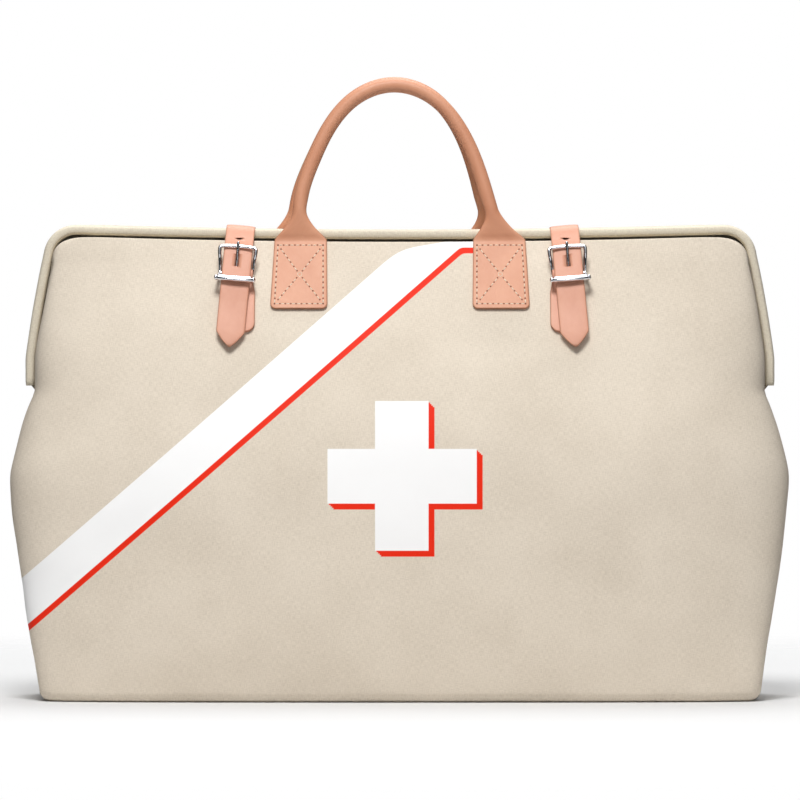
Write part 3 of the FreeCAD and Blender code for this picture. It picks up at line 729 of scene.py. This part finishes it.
def rope_material():
    nodes = Material("rope")
    place = nodes.object_place()
    strands = nodes.grain(place, (500, 500, 1400), 4.0)
    nodes.set(Base_Color=nodes.mix(strands, colour(206, 186, 150), colour(158, 134, 98)), Roughness=0.9,
              Normal=nodes.bump(strands, 0.0004, 0.8))
    return nodes.material


CANVAS = canvas_material("canvas_plain")
LINING = canvas_material("canvas_lining", light=colour(216, 205, 186), dark=colour(192, 180, 160))
PRINTED = printed_canvas()
RIM_CANVAS = canvas_material("canvas_rim", layer="surface", light=colour(229, 220, 198), dark=CREAM_DARK)
TAPE = solid_canvas("canvas_tape", CREAM_TAPE, CREAM_DARK)
HANDLE_LEATHER = leather_material("leather_handle", LEATHER, LEATHER_WARM)
STRAP_LEATHER = leather_material("leather_strap", colour(221, 162, 135), colour(209, 146, 119))
THREAD = thread_material("thread_cream", colour(238, 222, 192))
HEM_THREAD = thread_material("thread_hem", colour(222, 210, 188))
HOLE_SHADE = hole_shade_material()
NICKEL = metal_material("nickel_plate", colour(226, 227, 232), 0.09)
STEEL = metal_material("spring_steel", colour(150, 152, 158), 0.32)
BOARD = board_material()
ROPE = rope_material()


# ---------------- canvas walls

def outline_half(wall, z, count):
    """Evenly spaced points of a wall's outline at height z, from the bag's end to the wall's middle."""
    length = wall.half_width(z)
    end = wall.end_half_depth(z) if z < END_TAPER_Z else wall.face
    depth = wall.half_depth(z)
    power = 3.2 - 0.4 * min(1.0, z / END_TAPER_Z)
    start = wall.face * smooth(z, 0.238, 0.252)
    points = [(length, start + (end - start) * k / 12) for k in range(12)]
    for k in range(201):
        turn = math.pi / 2 * k / 200
        across = length * max(0.0, math.cos(turn)) ** (2 / power)
        points.append((across, end + (depth - end) * math.sin(turn) ** (2 / power)))
    points = np.array(points)
    run = np.concatenate([[0], np.cumsum(np.linalg.norm(np.diff(points, axis=0), axis=1))])
    wanted = np.linspace(0, run[-1], count)
    return np.stack([np.interp(wanted, run, points[:, k]) for k in (0, 1)], axis=1), wanted


def wall_levels(wall):
    """Heights of the rows: close together in the tuck, even up the wall, then round the hoop's corner."""
    low = [TUCK * (1 - math.cos(math.pi / 2 * k / 7)) for k in range(8)]
    middle = np.arange(low[-1] + CANVAS_STEP * 0.7, wall.corner_z - CANVAS_STEP * 0.4, CANVAS_STEP)
    corner = wall.crown_z - wall.corner_z
    high = [wall.corner_z + corner * math.sin(math.pi / 2 * k / 14) for k in range(15)]
    return np.array(low + list(middle) + high)


def crown_dip(wall, x, z):
    """The hoop's top dips a little towards its middle."""
    share = smooth(z, wall.corner_z - 0.02, wall.crown_z)
    rise = 0.0036 * min(1.0, abs(x) / 0.235) ** 2 - 0.0036
    if wall.side < 0:
        rise += 0.0022
    return rise * share


def calm(x, z):
    """0 where leather lies on the cloth, 1 elsewhere."""
    quiet = 1.0
    places = [(side * PATCH_X, 0.026, 0.298) for side in (-1, 1)]
    places += [(strap_x, 0.020, 0.268) for strap_x in STRAP_X.values()]
    for middle, half, low in places:
        beside = smooth(abs(x - middle), half, half + 0.02)
        below = smooth(low - z, 0.0, 0.02)
        quiet = min(quiet, max(beside, below))
    return quiet


def wrinkle(wall, x, y, z):
    """How far the cloth stands off its drawn shape: hollows, slack under the hoop legs, small creases."""
    seed = 7.3 if wall.side < 0 else 31.7
    broad = noise.noise(Vector((x * 7.5, z * 9.0 + seed, y * 6.0)))
    middle = noise.noise(Vector((x * 19.0 + 3.1, z * 25.0 + seed, y * 15.0)))
    fine = noise.noise(Vector((x * 60.0 - 5.2, z * 75.0, seed)))
    height = 0.0024 * broad + 0.0010 * middle + 0.00015 * fine
    out = max(0.0, abs(x) - 0.17) / 0.13
    pull = noise.noise(Vector((math.copysign(2.0, x) + seed, (z + 0.55 * abs(x)) * 30.0, 0.4)))
    slack = smooth(z, 0.06, 0.20) * (1 - smooth(z, 0.225, 0.27))
    height += 0.0021 * out * slack * pull
    foot = (1 - smooth(z, 0.012, 0.05)) * smooth(z, 0.0, 0.008)
    pucker = noise.noise(Vector((x * 34.0 + seed, z * 12.0, y * 34.0)))
    height += 0.0007 * foot * pucker
    fade = smooth(z, 0.0, 0.01) * (1 - smooth(z, 0.338, 0.356))
    return height * fade * calm(x, z)


def seam_height(wall, z):
    """The rear hem that folds over the hoop: one extra layer of cloth above its lower edge."""
    if wall is FRONT:
        return 0.0
    edge = 0.352
    layer = 0.0007 * smooth(z, edge - 0.0022, edge + 0.0012)
    groove = -0.0006 * math.exp(-((z - edge - 0.003) / 0.0012) ** 2)
    return layer + groove


def canvas_wall(name, wall, outer):
    """One wall of the bag as a single sheet, from under the base to the top of its hoop."""
    half = 76
    levels = wall_levels(wall)
    rows = []
    weave_places = []
    for z in levels:
        outline, run = outline_half(wall, z, half)
        right = [(x, wall.side * y, z) for x, y in outline]
        left = [(-x, y, z) for x, y, z in right[-2::-1]]
        rows.append(right + left)
        weave_places.append([run[-1] - r for r in run] + [r - run[-1] for r in run[-2::-1]])
    shape = np.array(rows)
    shape[:, :, 2] += [[crown_dip(wall, x, z) for x, _, z in row] for row in shape]
    along = np.gradient(shape, axis=1)
    upward = np.gradient(shape, axis=0)
    normals = np.cross(along, upward)
    lengths = np.linalg.norm(normals, axis=2)
    lengths[lengths < 1e-12] = 1.0
    normals /= lengths[:, :, None]
    if normals[len(levels) // 2, half - 1, 1] * wall.side < 0:
        normals = -normals
    lift = np.array([[wrinkle(wall, x, y, z) + seam_height(wall, z) for x, y, z in row] for row in shape])
    shape = shape + normals * lift[:, :, None]
    # the cloth rolls over the hoop along its border
    roll = np.zeros(lift.shape)
    roll[-1, :] = 1.0
    roll[-2, :] = 0.35
    for row, z in enumerate(levels):
        if z > 0.255:
            roll[row, [0, -1]] = 1.0
            roll[row, [1, -2]] = np.maximum(roll[row, [1, -2]], 0.2)
    shape[:, :, 1] -= wall.side * roll * 0.0013
    rows_count, columns = lift.shape
    flat = shape.reshape(-1, 3)
    print_scale = CAMERA_DISTANCE / (CAMERA_DISTANCE + flat[:, 1])
    prints = [(p[0] * s, CAMERA_AIM_Z + (p[2] - CAMERA_AIM_Z) * s) for p, s in zip(flat, print_scale)]
    weaves = [(weave_places[r][c], levels[r]) for r in range(rows_count) for c in range(columns)]
    obj = new_mesh(name, flat, grid_faces(rows_count, columns), [outer, LINING],
                   uvs={"print": prints, "weave": weaves})
    face_outward(obj, 0.00002)
    middle_face = max(obj.data.polygons, key=lambda f: f.center.y * wall.side)
    if middle_face.normal.y * wall.side < 0:
        obj.data.flip_normals()
    thicken(obj, CLOTH)
    for polygon in obj.data.polygons:
        polygon.use_smooth = True
    return obj


def base_cloth():
    """Bottom of the bag: the walls' cloth turned under and sewn round the board."""
    outline = []
    for wall in (FRONT, REAR):
        half, _ = outline_half(wall, 0.0, 60)
        right = [(x, wall.side * y) for x, y in half]
        left = [(-x, y) for x, y in right[-2::-1]]
        outline.append(right + left)
    loop = outline[0] + outline[1][-2:0:-1]
    count = len(loop)
    shares = (1.0, 0.995, 0.985, 0.97, 0.94, 0.88, 0.75, 0.55, 0.3, 0.1)
    points = []
    for share in shares:
        for x, y in loop:
            sag = 0.0006 * smooth(1 - share, 0.0, 0.02)
            ripple = 0.0003 * noise.noise(Vector((x * 25, y * 25, 2.0))) * smooth(1 - share, 0.0, 0.05)
            points.append((x * share, y * share, sag + ripple))
    points.append((0, 0, 0.0008))
    faces = []
    for ring in range(len(shares) - 1):
        for k in range(count):
            a, b = ring * count + k, ring * count + (k + 1) % count
            faces.append((a, a + count, b + count, b))
    last = (len(shares) - 1) * count
    for k in range(count):
        faces.append((last + k, len(points) - 1, last + (k + 1) % count))
    uvs = [(p[0], p[1]) for p in points]
    obj = new_mesh("base_cloth", points, faces, [CANVAS, LINING], uvs={"weave": uvs})
    face_outward(obj, 0.00002)
    if obj.data.polygons[0].normal.z > 0:
        obj.data.flip_normals()
    return thicken(obj, BASE_CLOTH)


def hem_stitches(z_row, reach):
    """Tone-on-tone stitches that hold the rear hem over its hoop."""
    thread = Thread()

    def place(x, z):
        point, _, normal = REAR.point(x, z + crown_dip(REAR, x, z))
        lift = seam_height(REAR, z) + (0.0003 if calm(x, z) > 0 else 0.0)
        return point + normal * lift, normal

    thread.row(place, (-reach, z_row), (reach, z_row), 0.0036, 0.00028, holes=False)
    return thread.finish("rear_hem_stitches", [HEM_THREAD, HOLE_SHADE])


# ---------------- hoop sleeves

def rear_hoop_line():
    """Right half of the rim's outer edge, foot to middle of the top."""
    points = [(leg_half_width(z, 0), z) for z in np.linspace(LEG_BOTTOM_Z, 0.345, 30)]
    for turn in np.linspace(math.radians(8.5), math.pi / 2, 30):
        points.append((CORNER_X + CORNER_RADIUS * math.cos(turn),
                       CORNER_Z + CORNER_RADIUS * math.sin(turn)))
    crown = CORNER_Z + CORNER_RADIUS
    for x in np.linspace(CORNER_X, 0, 40)[1:]:
        points.append((x, HOOP_TOP_Z + (crown - HOOP_TOP_Z) * (x / CORNER_X) ** 2))
    return points


def front_hoop_line():
    points = []
    for z in np.linspace(LEG_BOTTOM_Z, FRONT_CORNER_Z, 30):
        points.append((FRONT.leg(z), z))
    for turn in np.linspace(0, math.pi / 2, 30)[1:]:
        z = FRONT_CORNER_Z + (FRONT_CROWN_Z - FRONT_CORNER_Z) * math.sin(turn)
        points.append((FRONT.leg(z), z + crown_dip(FRONT, FRONT.leg(z), z)))
    for x in np.linspace(FRONT_CORNER_X, 0, 40)[1:]:
        points.append((x, FRONT_CROWN_Z + crown_dip(FRONT, x, FRONT_CROWN_Z)))
    return points


def hoop_curve(line, count):
    """Both halves of a hoop's line: points, inward directions and the run along it."""
    half = [Vector((x, 0, z)) for x, z in line]
    whole = half + [Vector((-p.x, 0, p.z)) for p in half[-2::-1]]
    places, tangents, runs = curve_through(whole[::2], count)
    inwards = []
    for place, tangent in zip(places, tangents):
        inward = np.cross(np.array([0, 1, 0]), tangent)
        if np.dot(inward, np.array([0, 0, 0.25]) - place) < 0:
            inward = -inward
        inwards.append(inward)
    return places, inwards, runs


def hoop_sleeve(name, line, band, y_range):
    """Canvas tube sewn round a hoop, slightly puckered, with square ends."""
    places, inwards, runs = hoop_curve(line, 260)
    middle_y = (y_range[0] + y_range[1]) / 2
    half_y = (y_range[1] - y_range[0]) / 2
    rings = []
    last = len(places) - 1
    for level, (place, inward) in enumerate(zip(places, inwards)):
        near_end = min(level, last - level)
        size = (0.9, 0.985)[near_end] if near_end < 2 else 1.0
        pucker = 1 + 0.025 * noise.noise(Vector((runs[level] * 55, 1.7, middle_y * 90)))
        section = rounded_section(band / 2 * size * pucker, half_y * size, 3.6, 28)
        centre = place + inward * (band / 2)
        rings.append([centre - inward * a + np.array([0, middle_y + b, 0]) for a, b in section])
    return face_outward(loft(name, rings, runs, [RIM_CANVAS]), 1e-6)


def rim_stitches(y, inset):
    """Stitches on the rim's front face, just inside its inner edge."""
    thread = Thread()
    places, inwards, _ = hoop_curve(rear_hoop_line(), 430)
    for k in range(6, len(places) - 6, 2):
        a, b = (Vector(places[j] + inwards[j] * inset) + Vector((0, y, 0)) for j in (k, k + 1))
        thread.stitch(a.lerp(b, -0.25), b, Vector((0, -1, 0)), 0.00026)
    return thread.finish("rim_stitches", [HEM_THREAD, HOLE_SHADE])


# ---------------- handles

def handle_plan(shift):
    """Middle line of a handle in its own plane, (across, up from the fold line)."""
    half = [(PATCH_X, 0.0), (0.0734, 0.033), (0.0642, 0.0615), (0.0505, 0.0895), (0.030, 0.1118)]
    points = [(-x, h) for x, h in half] + [(0.0, HANDLE_REACH)] + [(x, h) for x, h in half[::-1]]
    bent = []
    for x, h in points:
        lean = -HANDLE_LEAN * min(1.0, h / 0.033)
        settle = 1 - min(1.0, h / HANDLE_REACH)
        bent.append(Vector((x + lean + shift * settle ** (3 if x < 0 else 1), h, 0)))
    return bent


def grip_section(height, count):
    """Ring of the handle at a height above its fold line, (across, thickness), with a sewn edge inside."""
    if height < GRIP_FLARE:
        left = 1 - height / GRIP_FLARE
        width = GRIP_RADIUS + 0.0152 * left ** 1.7
        thickness = PATCH_HALF_THICKNESS + (GRIP_RADIUS - PATCH_HALF_THICKNESS) * (1 - left) ** 0.8
        return rounded_section(width, thickness, 2.0 + 2.5 * left ** 2, count)
    ring = rounded_section(GRIP_RADIUS, GRIP_RADIUS, 2.0, count)
    turns = np.arange(count) * 2 * math.pi / count
    ridge = smooth(height, GRIP_FLARE, GRIP_FLARE + 0.012) * np.exp(-((turns - math.pi) / 0.33) ** 2)
    ring[:, 0] -= 0.0006 * ridge
    return ring


def edge_wear(section, start):
    """How near each point of a ring is to its edges: 0 up to the start, 1 at the edge itself."""
    across = abs(section[:, 0])
    return np.clip((across / across.max() - start) / (1 - start), 0, 1)


def patch_rings(wall, side, shift, shares, count):
    """Rings of a flat patch on the wall, at shares of its height from the foot, with their edge wear."""
    rings, middles, edges = [], [], []
    for share in shares:
        rise = (PATCH_TOP_Z + 0.0012 - PATCH_LOW_Z) * share
        z = PATCH_LOW_Z + rise
        width = PATCH_FOOT_HALF + (PATCH_TOP_HALF - PATCH_FOOT_HALF) * share
        if rise < PATCH_CORNER:
            width -= PATCH_CORNER - math.sqrt(max(0.0, PATCH_CORNER ** 2 - (PATCH_CORNER - rise) ** 2))
        x = side * PATCH_X + shift + side * PATCH_FLARE * (1 - share)
        centre, _, out = wall.point(x, z, 0.0018)
        section = rounded_section(width, PATCH_HALF_THICKNESS, 7.0, count)
        ring = [centre + Vector((side * a, 0, 0)) + out * b for a, b in section]
        for vertex in ring:
            vertex.y += wall.surface_y(vertex.x, z) - wall.surface_y(x, z)
        rings.append(ring)
        middles.append(centre)
        edges.extend(np.maximum(edge_wear(section, 0.93) * 0.8, 0.8 if share == 0 else 0.0))
    return rings, middles, edges


def grip_rings(wall, fold, shift, count):
    """Rings of the flares and the round grip, from the left end of the fold line to the right."""
    plan, plan_tangents, _ = curve_through(handle_plan(shift), 150)
    outward = Vector((0, wall.side, 0))
    lean_y = wall.side * HANDLE_TOP_Y - fold.y
    up = Vector((0, lean_y, math.sqrt(HANDLE_REACH ** 2 - lean_y ** 2))).normalized()
    plane_normal = (outward - up * outward.dot(up)).normalized()
    rings, middles, edges = [], [], []
    for place, tangent in zip(plan, plan_tangents):
        height = place[1]
        if height < 0.0012:
            continue
        centre = fold + Vector((place[0], 0, 0)) + up * height
        along = (Vector((tangent[0], 0, 0)) + up * tangent[1]).normalized()
        across = plane_normal.cross(along) * -wall.side
        if across.dot(Vector((place[0] + HANDLE_LEAN, 0, 0)) + up * (height - 0.05)) < 0:
            across = -across
        flat = Vector((math.copysign(1, place[0]), 0, 0))
        across = flat.lerp(across, smooth(height, 0.006, 0.024)).normalized()
        section = grip_section(height, count)
        rings.append([centre + across * a + plane_normal * b for a, b in section])
        middles.append(centre)
        strength = 0.8 if abs(section[:, 1]).max() < 0.0028 else 0.12
        edges.extend(edge_wear(section, 0.93) * strength)
    return rings, middles, edges


def handle(name, wall, fold, shift):
    """One piece of leather: a flat sewn patch at each end, rolled into a round grip between them."""
    count = 36
    shares = [0, 0.004, 0.014, 0.03, 0.05, 0.075] + [0.075 + 0.925 * k / 16 for k in range(1, 17)]
    left = patch_rings(wall, -1, shift, shares, count)
    grip = grip_rings(wall, fold, shift, count)
    right = patch_rings(wall, 1, shift, shares[::-1], count)
    rings, middles, edges = (a + b + c for a, b, c in zip(left, grip, right))
    runs = [0.0]
    for a, b in zip(middles, middles[1:]):
        runs.append(runs[-1] + (b - a).length)
    obj = loft(name, rings, runs, [HANDLE_LEATHER])
    add_point_value(obj, "edge", edges)
    return obj


def patch_stitches(name, wall, shift):
    """Stitching of both patches: round the border, corner to corner, and a small ring at the crossing."""
    thread = Thread()
    for side in (-1, 1):
        middle_x = side * PATCH_X + shift

        def place(u, v):
            z = PATCH_LOW_Z + v
            share = v / (PATCH_TOP_Z - PATCH_LOW_Z)
            x = middle_x + side * PATCH_FLARE * (1 - share) + u
            point, _, normal = wall.point(middle_x, z, 0.0031)
            point.x = x
            point.y += wall.surface_y(x, z) - wall.surface_y(middle_x, z)
            return point, normal

        low, high = 0.0032, 0.0490
        foot, top = 0.0190, 0.0177
        corners = [(-foot, low), (foot, low), (top, high), (-top, high)]
        for start, end in zip(corners, corners[1:] + corners[:1]):
            thread.row(place, start, end, SADDLE_PITCH, SADDLE_THREAD)
        centre = (0.0, (low + high) / 2)
        for corner in corners:
            inner = Vector(corner) * 0.86 + Vector(centre) * 0.14
            outer = Vector(corner) * 0.12 + Vector(centre) * 0.88
            thread.row(place, inner, outer, SADDLE_PITCH, SADDLE_THREAD)
        knot = [(centre[0] + 0.0018 * math.cos(a), centre[1] + 0.0018 * math.sin(a))
                for a in np.linspace(0, 2 * math.pi, 7)]
        for start, end in zip(knot, knot[1:]):
            (a, normal), (b, _) = place(*start), place(*end)
            thread.stitch(a, b, normal, 0.00048)
    return thread.finish(name, [THREAD, HOLE_SHADE])


# ---------------- straps

def splay(point, x, side):
    """Turn a point with its strap, which runs outwards as it goes down."""
    turn = Matrix.Rotation(-side * STRAP_SPLAY, 3, "Y")
    pivot = Vector((x, 0, BUCKLE_Z))
    return pivot + turn @ (Vector(point) - pivot)


def strap_line(x):
    """Middle line of a strap: up the rear wall, over both hoops, through the buckle, down to its tip."""
    anchor = [REAR.point(x, z, 0.0017)[0] for z in (0.318, 0.335, 0.350)]
    crest = ((0.0212, 0.3630), (0.0174, 0.3696), (0.0100, 0.3709), (-0.0080, 0.3709), (-0.0154, 0.3692),
             (-0.0206, 0.3646))
    over = [Vector((x, y, z)) for y, z in crest]
    lifts = ((0.352, STRAP_LIFT), (0.342, STRAP_LIFT), (BUCKLE_Z, STRAP_LIFT), (0.323, 0.0090),
             (0.308, 0.0072), (0.292, 0.0062), (0.275, 0.0056))
    front = [FRONT.point(x, z, lift)[0] for z, lift in lifts]
    return anchor + over + front


def leather_strip(name, line, count, ring_at, turned=1):
    """Strip of leather along a line that keeps its x. ring_at gives each section and its edge wear."""
    places, tangents, runs = curve_through(line, count)
    rings, edges = [], []
    for place, tangent, run in zip(places, tangents, runs):
        out = Vector((0, tangent[2], -tangent[1])) * turned
        section, wear = ring_at(place[2], run, runs[-1] - run)
        rings.append([Vector(place) + Vector((a, 0, 0)) + out * b for a, b in section])
        edges.extend(wear)
    obj = loft(name, rings, runs, [STRAP_LEATHER])
    add_point_value(obj, "edge", edges)
    return obj


def strap(name, x, side):
    """Flat leather strap with crowned faces and a pointed tip."""
    def ring_at(_, run, left):
        taper = min(1.0, (0.03 + left / 0.0125)) ** 0.72
        half = STRAP_HALF * taper
        if run < 0.004:
            half *= 0.9 + 0.1 * run / 0.004
        section = rounded_section(half, 0.0011 - 0.0002 * (1 - taper), 5.0, 30)
        section[:, 1] *= 1 + 0.18 * (1 - (section[:, 0] / half) ** 2)
        return section, np.maximum(edge_wear(section, 0.9) * 0.75, 0.75 * (1 - taper) ** 2)

    obj = leather_strip(name, strap_line(x), 120, ring_at, turned=-1)
    for vertex in obj.data.vertices:
        vertex.co = splay(vertex.co, x, side)
    return obj


def cut_strap(obj, x, side, buckle):
    """Oblong hole over the rim, and the slot where the prong comes through."""
    top, _, normal = FRONT.point(x, 0.3605, 0.006)
    oblong = bmesh.new()
    bmesh.ops.create_cone(oblong, cap_ends=True, segments=24, radius1=0.0010, radius2=0.0010, depth=0.02,
                          matrix=Matrix.Diagonal((2.6, 1, 1, 1)))
    aim = normal.to_track_quat("Z", "Y").to_matrix().to_4x4()
    cutters = [(oblong, Matrix.Translation(splay(top, x, side)) @ aim)]
    slot = bmesh.new()
    bmesh.ops.create_cube(slot, size=1.0, matrix=Matrix.Diagonal((*PRONG_SLOT, 1)))
    cutters.append((slot, buckle @ Matrix.Translation(PRONG_SLOT_PLACE)))
    for work, place in cutters:
        mesh = bpy.data.meshes.new("cutter")
        work.to_mesh(mesh)
        work.free()
        cutter = bpy.data.objects.new("cutter", mesh)
        cutter.matrix_world = place
        bpy.context.scene.collection.objects.link(cutter)
        cut = obj.modifiers.new("hole", "BOOLEAN")
        cut.operation = "DIFFERENCE"
        cut.solver = "EXACT"
        cut.object = cutter
        apply_modifiers(obj)
        bpy.data.objects.remove(cutter)
    return obj


def chape(name, x, side, buckle):
    """Leather loop sewn to the wall. It holds the buckle's middle bar."""
    inner = x - side * 0.003
    bar = buckle @ Vector((0, 0, BAR_LIFT))
    heights = (0.2875, 0.300, 0.312, 0.322)
    low = [FRONT.point(inner, z, 0.0030)[0] for z in heights]
    back = [FRONT.point(inner, z, 0.0011)[0] for z in heights[::-1]]
    _, rise, normal = FRONT.point(inner, BUCKLE_Z)
    loop = []
    for turn in (-40, 0, 45, 90, 135, 180, 220):
        angle = math.radians(turn)
        offset = normal * math.cos(angle) + rise * math.sin(angle)
        loop.append(Vector((inner, bar.y, bar.z)) + offset * 0.0030)

    def ring_at(z, run, left):
        near_end = min(run, left)
        half = 0.012
        if near_end < 0.008:
            half = 0.004 + math.sqrt(max(0.0, 0.008 ** 2 - (0.008 - near_end) ** 2))
        half -= 0.0015 * smooth(z, 0.318, 0.328)
        section = rounded_section(half, 0.0008, 5.0, 24)
        return section, edge_wear(section, 0.9) * 0.75

    return leather_strip(name, low + loop + back, 110, ring_at)


def buckle_wire(name, buckle):
    """Bent wire frame: flat-topped, waisted at the middle bar, with knobs at the roller's ends."""
    right = [(0.0117, 0.0197, 0.0120), (0.0138, 0.0188, 0.0120), (0.0142, 0.0160, 0.0115),
             (0.0137, 0.0110, 0.0096), (0.0130, 0.0050, 0.0056), (BAR_HALF, 0.0, BAR_LIFT),
             (0.0134, -0.0038, 0.0064), (0.0143, -0.0076, 0.0112), ROLLER_END]
    left = [(-x, y, z) for x, y, z in right[::-1]]
    curve = bpy.data.curves.new(name, "CURVE")
    curve.dimensions = "3D"
    curve.bevel_depth = 0.0015
    curve.bevel_resolution = 6
    curve.resolution_u = 8
    curve.use_fill_caps = True
    bar = [(-BAR_HALF, 0, BAR_LIFT), (BAR_HALF, 0, BAR_LIFT)]
    lines = [(left + right, True), (bar, False)]
    for points, closed in lines:
        line = curve.splines.new("BEZIER")
        line.bezier_points.add(len(points) - 1)
        for knot, point in zip(line.bezier_points, points):
            knot.co = buckle @ Vector(point)
            knot.handle_left_type = knot.handle_right_type = "AUTO" if closed else "VECTOR"
        line.use_cyclic_u = closed
    obj = bpy.data.objects.new(name, curve)
    bpy.context.scene.collection.objects.link(obj)
    bpy.context.view_layer.update()
    wire = bpy.data.meshes.new_from_object(obj.evaluated_get(bpy.context.evaluated_depsgraph_get()))
    bpy.data.objects.remove(obj)
    work = bmesh.new()
    work.from_mesh(wire)
    for side in (-1, 1):
        knob = Matrix.Translation((side * ROLLER_END[0], *ROLLER_END[1:])) @ Matrix.Diagonal((0.8, 1, 1, 1))
        bmesh.ops.create_uvsphere(work, u_segments=20, v_segments=12, radius=0.0023,
                                  matrix=buckle @ knob)
    work.to_mesh(wire)
    work.free()
    wire.materials.clear()
    wire.materials.append(NICKEL)
    piece = bpy.data.objects.new(name, wire)
    bpy.context.scene.collection.objects.link(piece)
    for polygon in wire.polygons:
        polygon.use_smooth = True
        polygon.material_index = 0
    return piece


# ---------------- put the bag together

def build_canvas():
    front = canvas_wall("front_canvas", FRONT, PRINTED)
    rear = canvas_wall("rear_canvas", REAR, CANVAS)
    base = base_cloth()
    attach(base, "bag")
    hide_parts("front_panel", "front_upper_panel")
    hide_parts("rear_panel", "rear_upper_panel")
    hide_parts("bottom_panel")
    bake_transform(front)
    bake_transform(rear)
    row = hem_stitches(0.355, 0.262)
    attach(row, "rear_frame")


def build_hoops():
    rim = hoop_sleeve("rim_sleeve", rear_hoop_line(), REAR_BAND, REAR_SLEEVE_Y)
    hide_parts("rear_rim_sleeve")
    inner = hoop_sleeve("front_sleeve", front_hoop_line(), FRONT_BAND, FRONT_SLEEVE_Y)
    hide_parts("front_hoop_sleeve")
    rows = rim_stitches(REAR_SLEEVE_Y[0] + 0.0002, 0.7 * REAR_BAND)
    for piece, body in ((rim, "rear_frame"), (inner, "front_frame"), (rows, "rear_frame")):
        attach(piece, body)


def build_handles():
    for end, wall, shift in (("front", FRONT, 0.0), ("rear", REAR, REAR_SHIFT)):
        fold = FOLD_LINE[end]
        leather = handle(f"{end}_handle_leather", wall, fold, shift)
        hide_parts(f"{end}_handle_grip", f"{end}_patch_left", f"{end}_patch_right")
        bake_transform(leather)
        sewing = patch_stitches(f"{end}_patch_stitches", wall, shift)
        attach(sewing, f"{end}_frame")


def build_straps():
    for end, x in STRAP_X.items():
        side = -1 if x < 0 else 1
        buckle = FRONT.placement(x, BUCKLE_Z, side * STRAP_SPLAY)
        leather = cut_strap(strap(f"{end}_strap_leather", x, side), x, side, buckle)
        for polygon in leather.data.polygons:
            polygon.use_smooth = polygon.area < 2e-4
        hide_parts(f"{end}_strap", f"{end}_strap_anchor")
        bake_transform(leather)
        loop = chape(f"{end}_chape_leather", x, side, buckle)
        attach(loop, "front_frame")
        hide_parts(f"{end}_buckle_chape")
        wire = buckle_wire(f"{end}_buckle_wire", buckle)
        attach(wire, f"{end}_buckle")
        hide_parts(f"{end}_buckle_frame")


def finish_frame_parts():
    """Materials of the CAD nodes that stay in sight."""
    looks = {"base_board": BOARD, "front_hoop_strip": STEEL, "rear_hoop_strip": STEEL,
             "hinge_rivets": STEEL, "front_handle_core": ROPE, "rear_handle_core": ROPE}
    for end in ("left", "right"):
        looks[f"{end}_end_binding"] = TAPE
        looks[f"{end}_end_tab"] = TAPE
        looks[f"{end}_buckle_prong"] = NICKEL
        looks[f"{end}_buckle_roller"] = NICKEL
    for name, material in looks.items():
        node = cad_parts[name]
        node.data.materials.clear()
        node.data.materials.append(material)


# ---------------- studio

def floor_material():
    """Grey paper near the bag that fades into the white surroundings away from the bag: a painted shadow
    round the bag.
    """
    nodes = Material("studio_floor_painted_shadow")
    x, y, _ = nodes.split(nodes.object_place())
    reach = nodes.math("SQRT", nodes.plus(nodes.times(x, x), nodes.times(y, y)))
    # painted shadow: grey where the floor is opaque near the bag, fading out to the white surroundings with
    # distance
    nodes.set(Base_Color=(0.74, 0.74, 0.74, 1), Roughness=0.95,
              Alpha=nodes.ramp(reach, 0.36, 1.1, 1.0, 0.0))
    return nodes.material


def studio_world():
    """White behind the bag. Its light is bright overhead and falls off towards the horizon."""
    world = bpy.data.worlds.new("studio")
    bpy.context.scene.world = world
    world.use_nodes = True
    nodes = Nodes(world.node_tree)
    x, _, z = nodes.split(nodes.add("TexCoord").outputs["Generated"])
    overhead = nodes.ramp(z, -0.1, 0.8, 0.06, 0.78)
    ahead = nodes.ramp(nodes.math("ABSOLUTE", x), 0.2, 0.7, 1.0, 0.06)
    soft, white = nodes.add("Background"), nodes.add("Background")
    nodes.put(soft.inputs[0], (0.97, 0.985, 1.0, 1.0))
    nodes.put(soft.inputs[1], nodes.times(overhead, ahead))
    nodes.put(white.inputs[0], (1, 1, 1, 1))
    seen = nodes.add("MixShader")
    nodes.link(nodes.add("LightPath").outputs["Is Camera Ray"], seen.inputs[0])
    nodes.link(soft.outputs[0], seen.inputs[1])
    nodes.link(white.outputs[0], seen.inputs[2])
    nodes.link(seen.outputs[0], nodes.add("OutputWorld").inputs[0])


def studio():
    """Floor painted grey round the bag as a shadow, soft light from above and in front, and the camera
    square to the bag's front.
    """
    bpy.ops.mesh.primitive_plane_add(size=8, location=(0, 0, -0.0002))
    floor = bpy.context.object
    floor.name = "studio_floor"
    floor.data.materials.append(floor_material())
    bpy.context.scene.view_settings.view_transform = "Standard"
    studio_world()
    # name, place, width and power of each lamp
    lights = (("key", (-0.15, -1.5, 2.35), 0.9, 55), ("fill", (0.3, -2.8, 0.6), 0.9, 5),
              ("top", (0.1, 0.9, 2.1), 1.4, 22))
    for name, place, size, power in lights:
        data = bpy.data.lights.new(name, "AREA")
        data.shape = "DISK"
        data.size = size
        data.energy = power
        lamp = bpy.data.objects.new(name, data)
        lamp.location = place
        lamp.rotation_euler = (Vector((0, 0, 0.2)) - Vector(place)).to_track_quat("-Z", "Y").to_euler()
        bpy.context.scene.collection.objects.link(lamp)
    data = bpy.data.cameras.new("camera")
    data.lens = CAMERA_LENS
    data.sensor_width = 36.0
    data.clip_end = 60
    camera = bpy.data.objects.new("camera", data)
    camera.location = (0, -CAMERA_DISTANCE, CAMERA_AIM_Z + CAMERA_RISE)
    aim = Vector((0, 0, CAMERA_AIM_Z))
    camera.rotation_euler = (aim - camera.location).to_track_quat("-Z", "Y").to_euler()
    bpy.context.scene.collection.objects.link(camera)
    bpy.context.scene.camera = camera


build_canvas()
build_hoops()
build_handles()
build_straps()
finish_frame_parts()
studio()
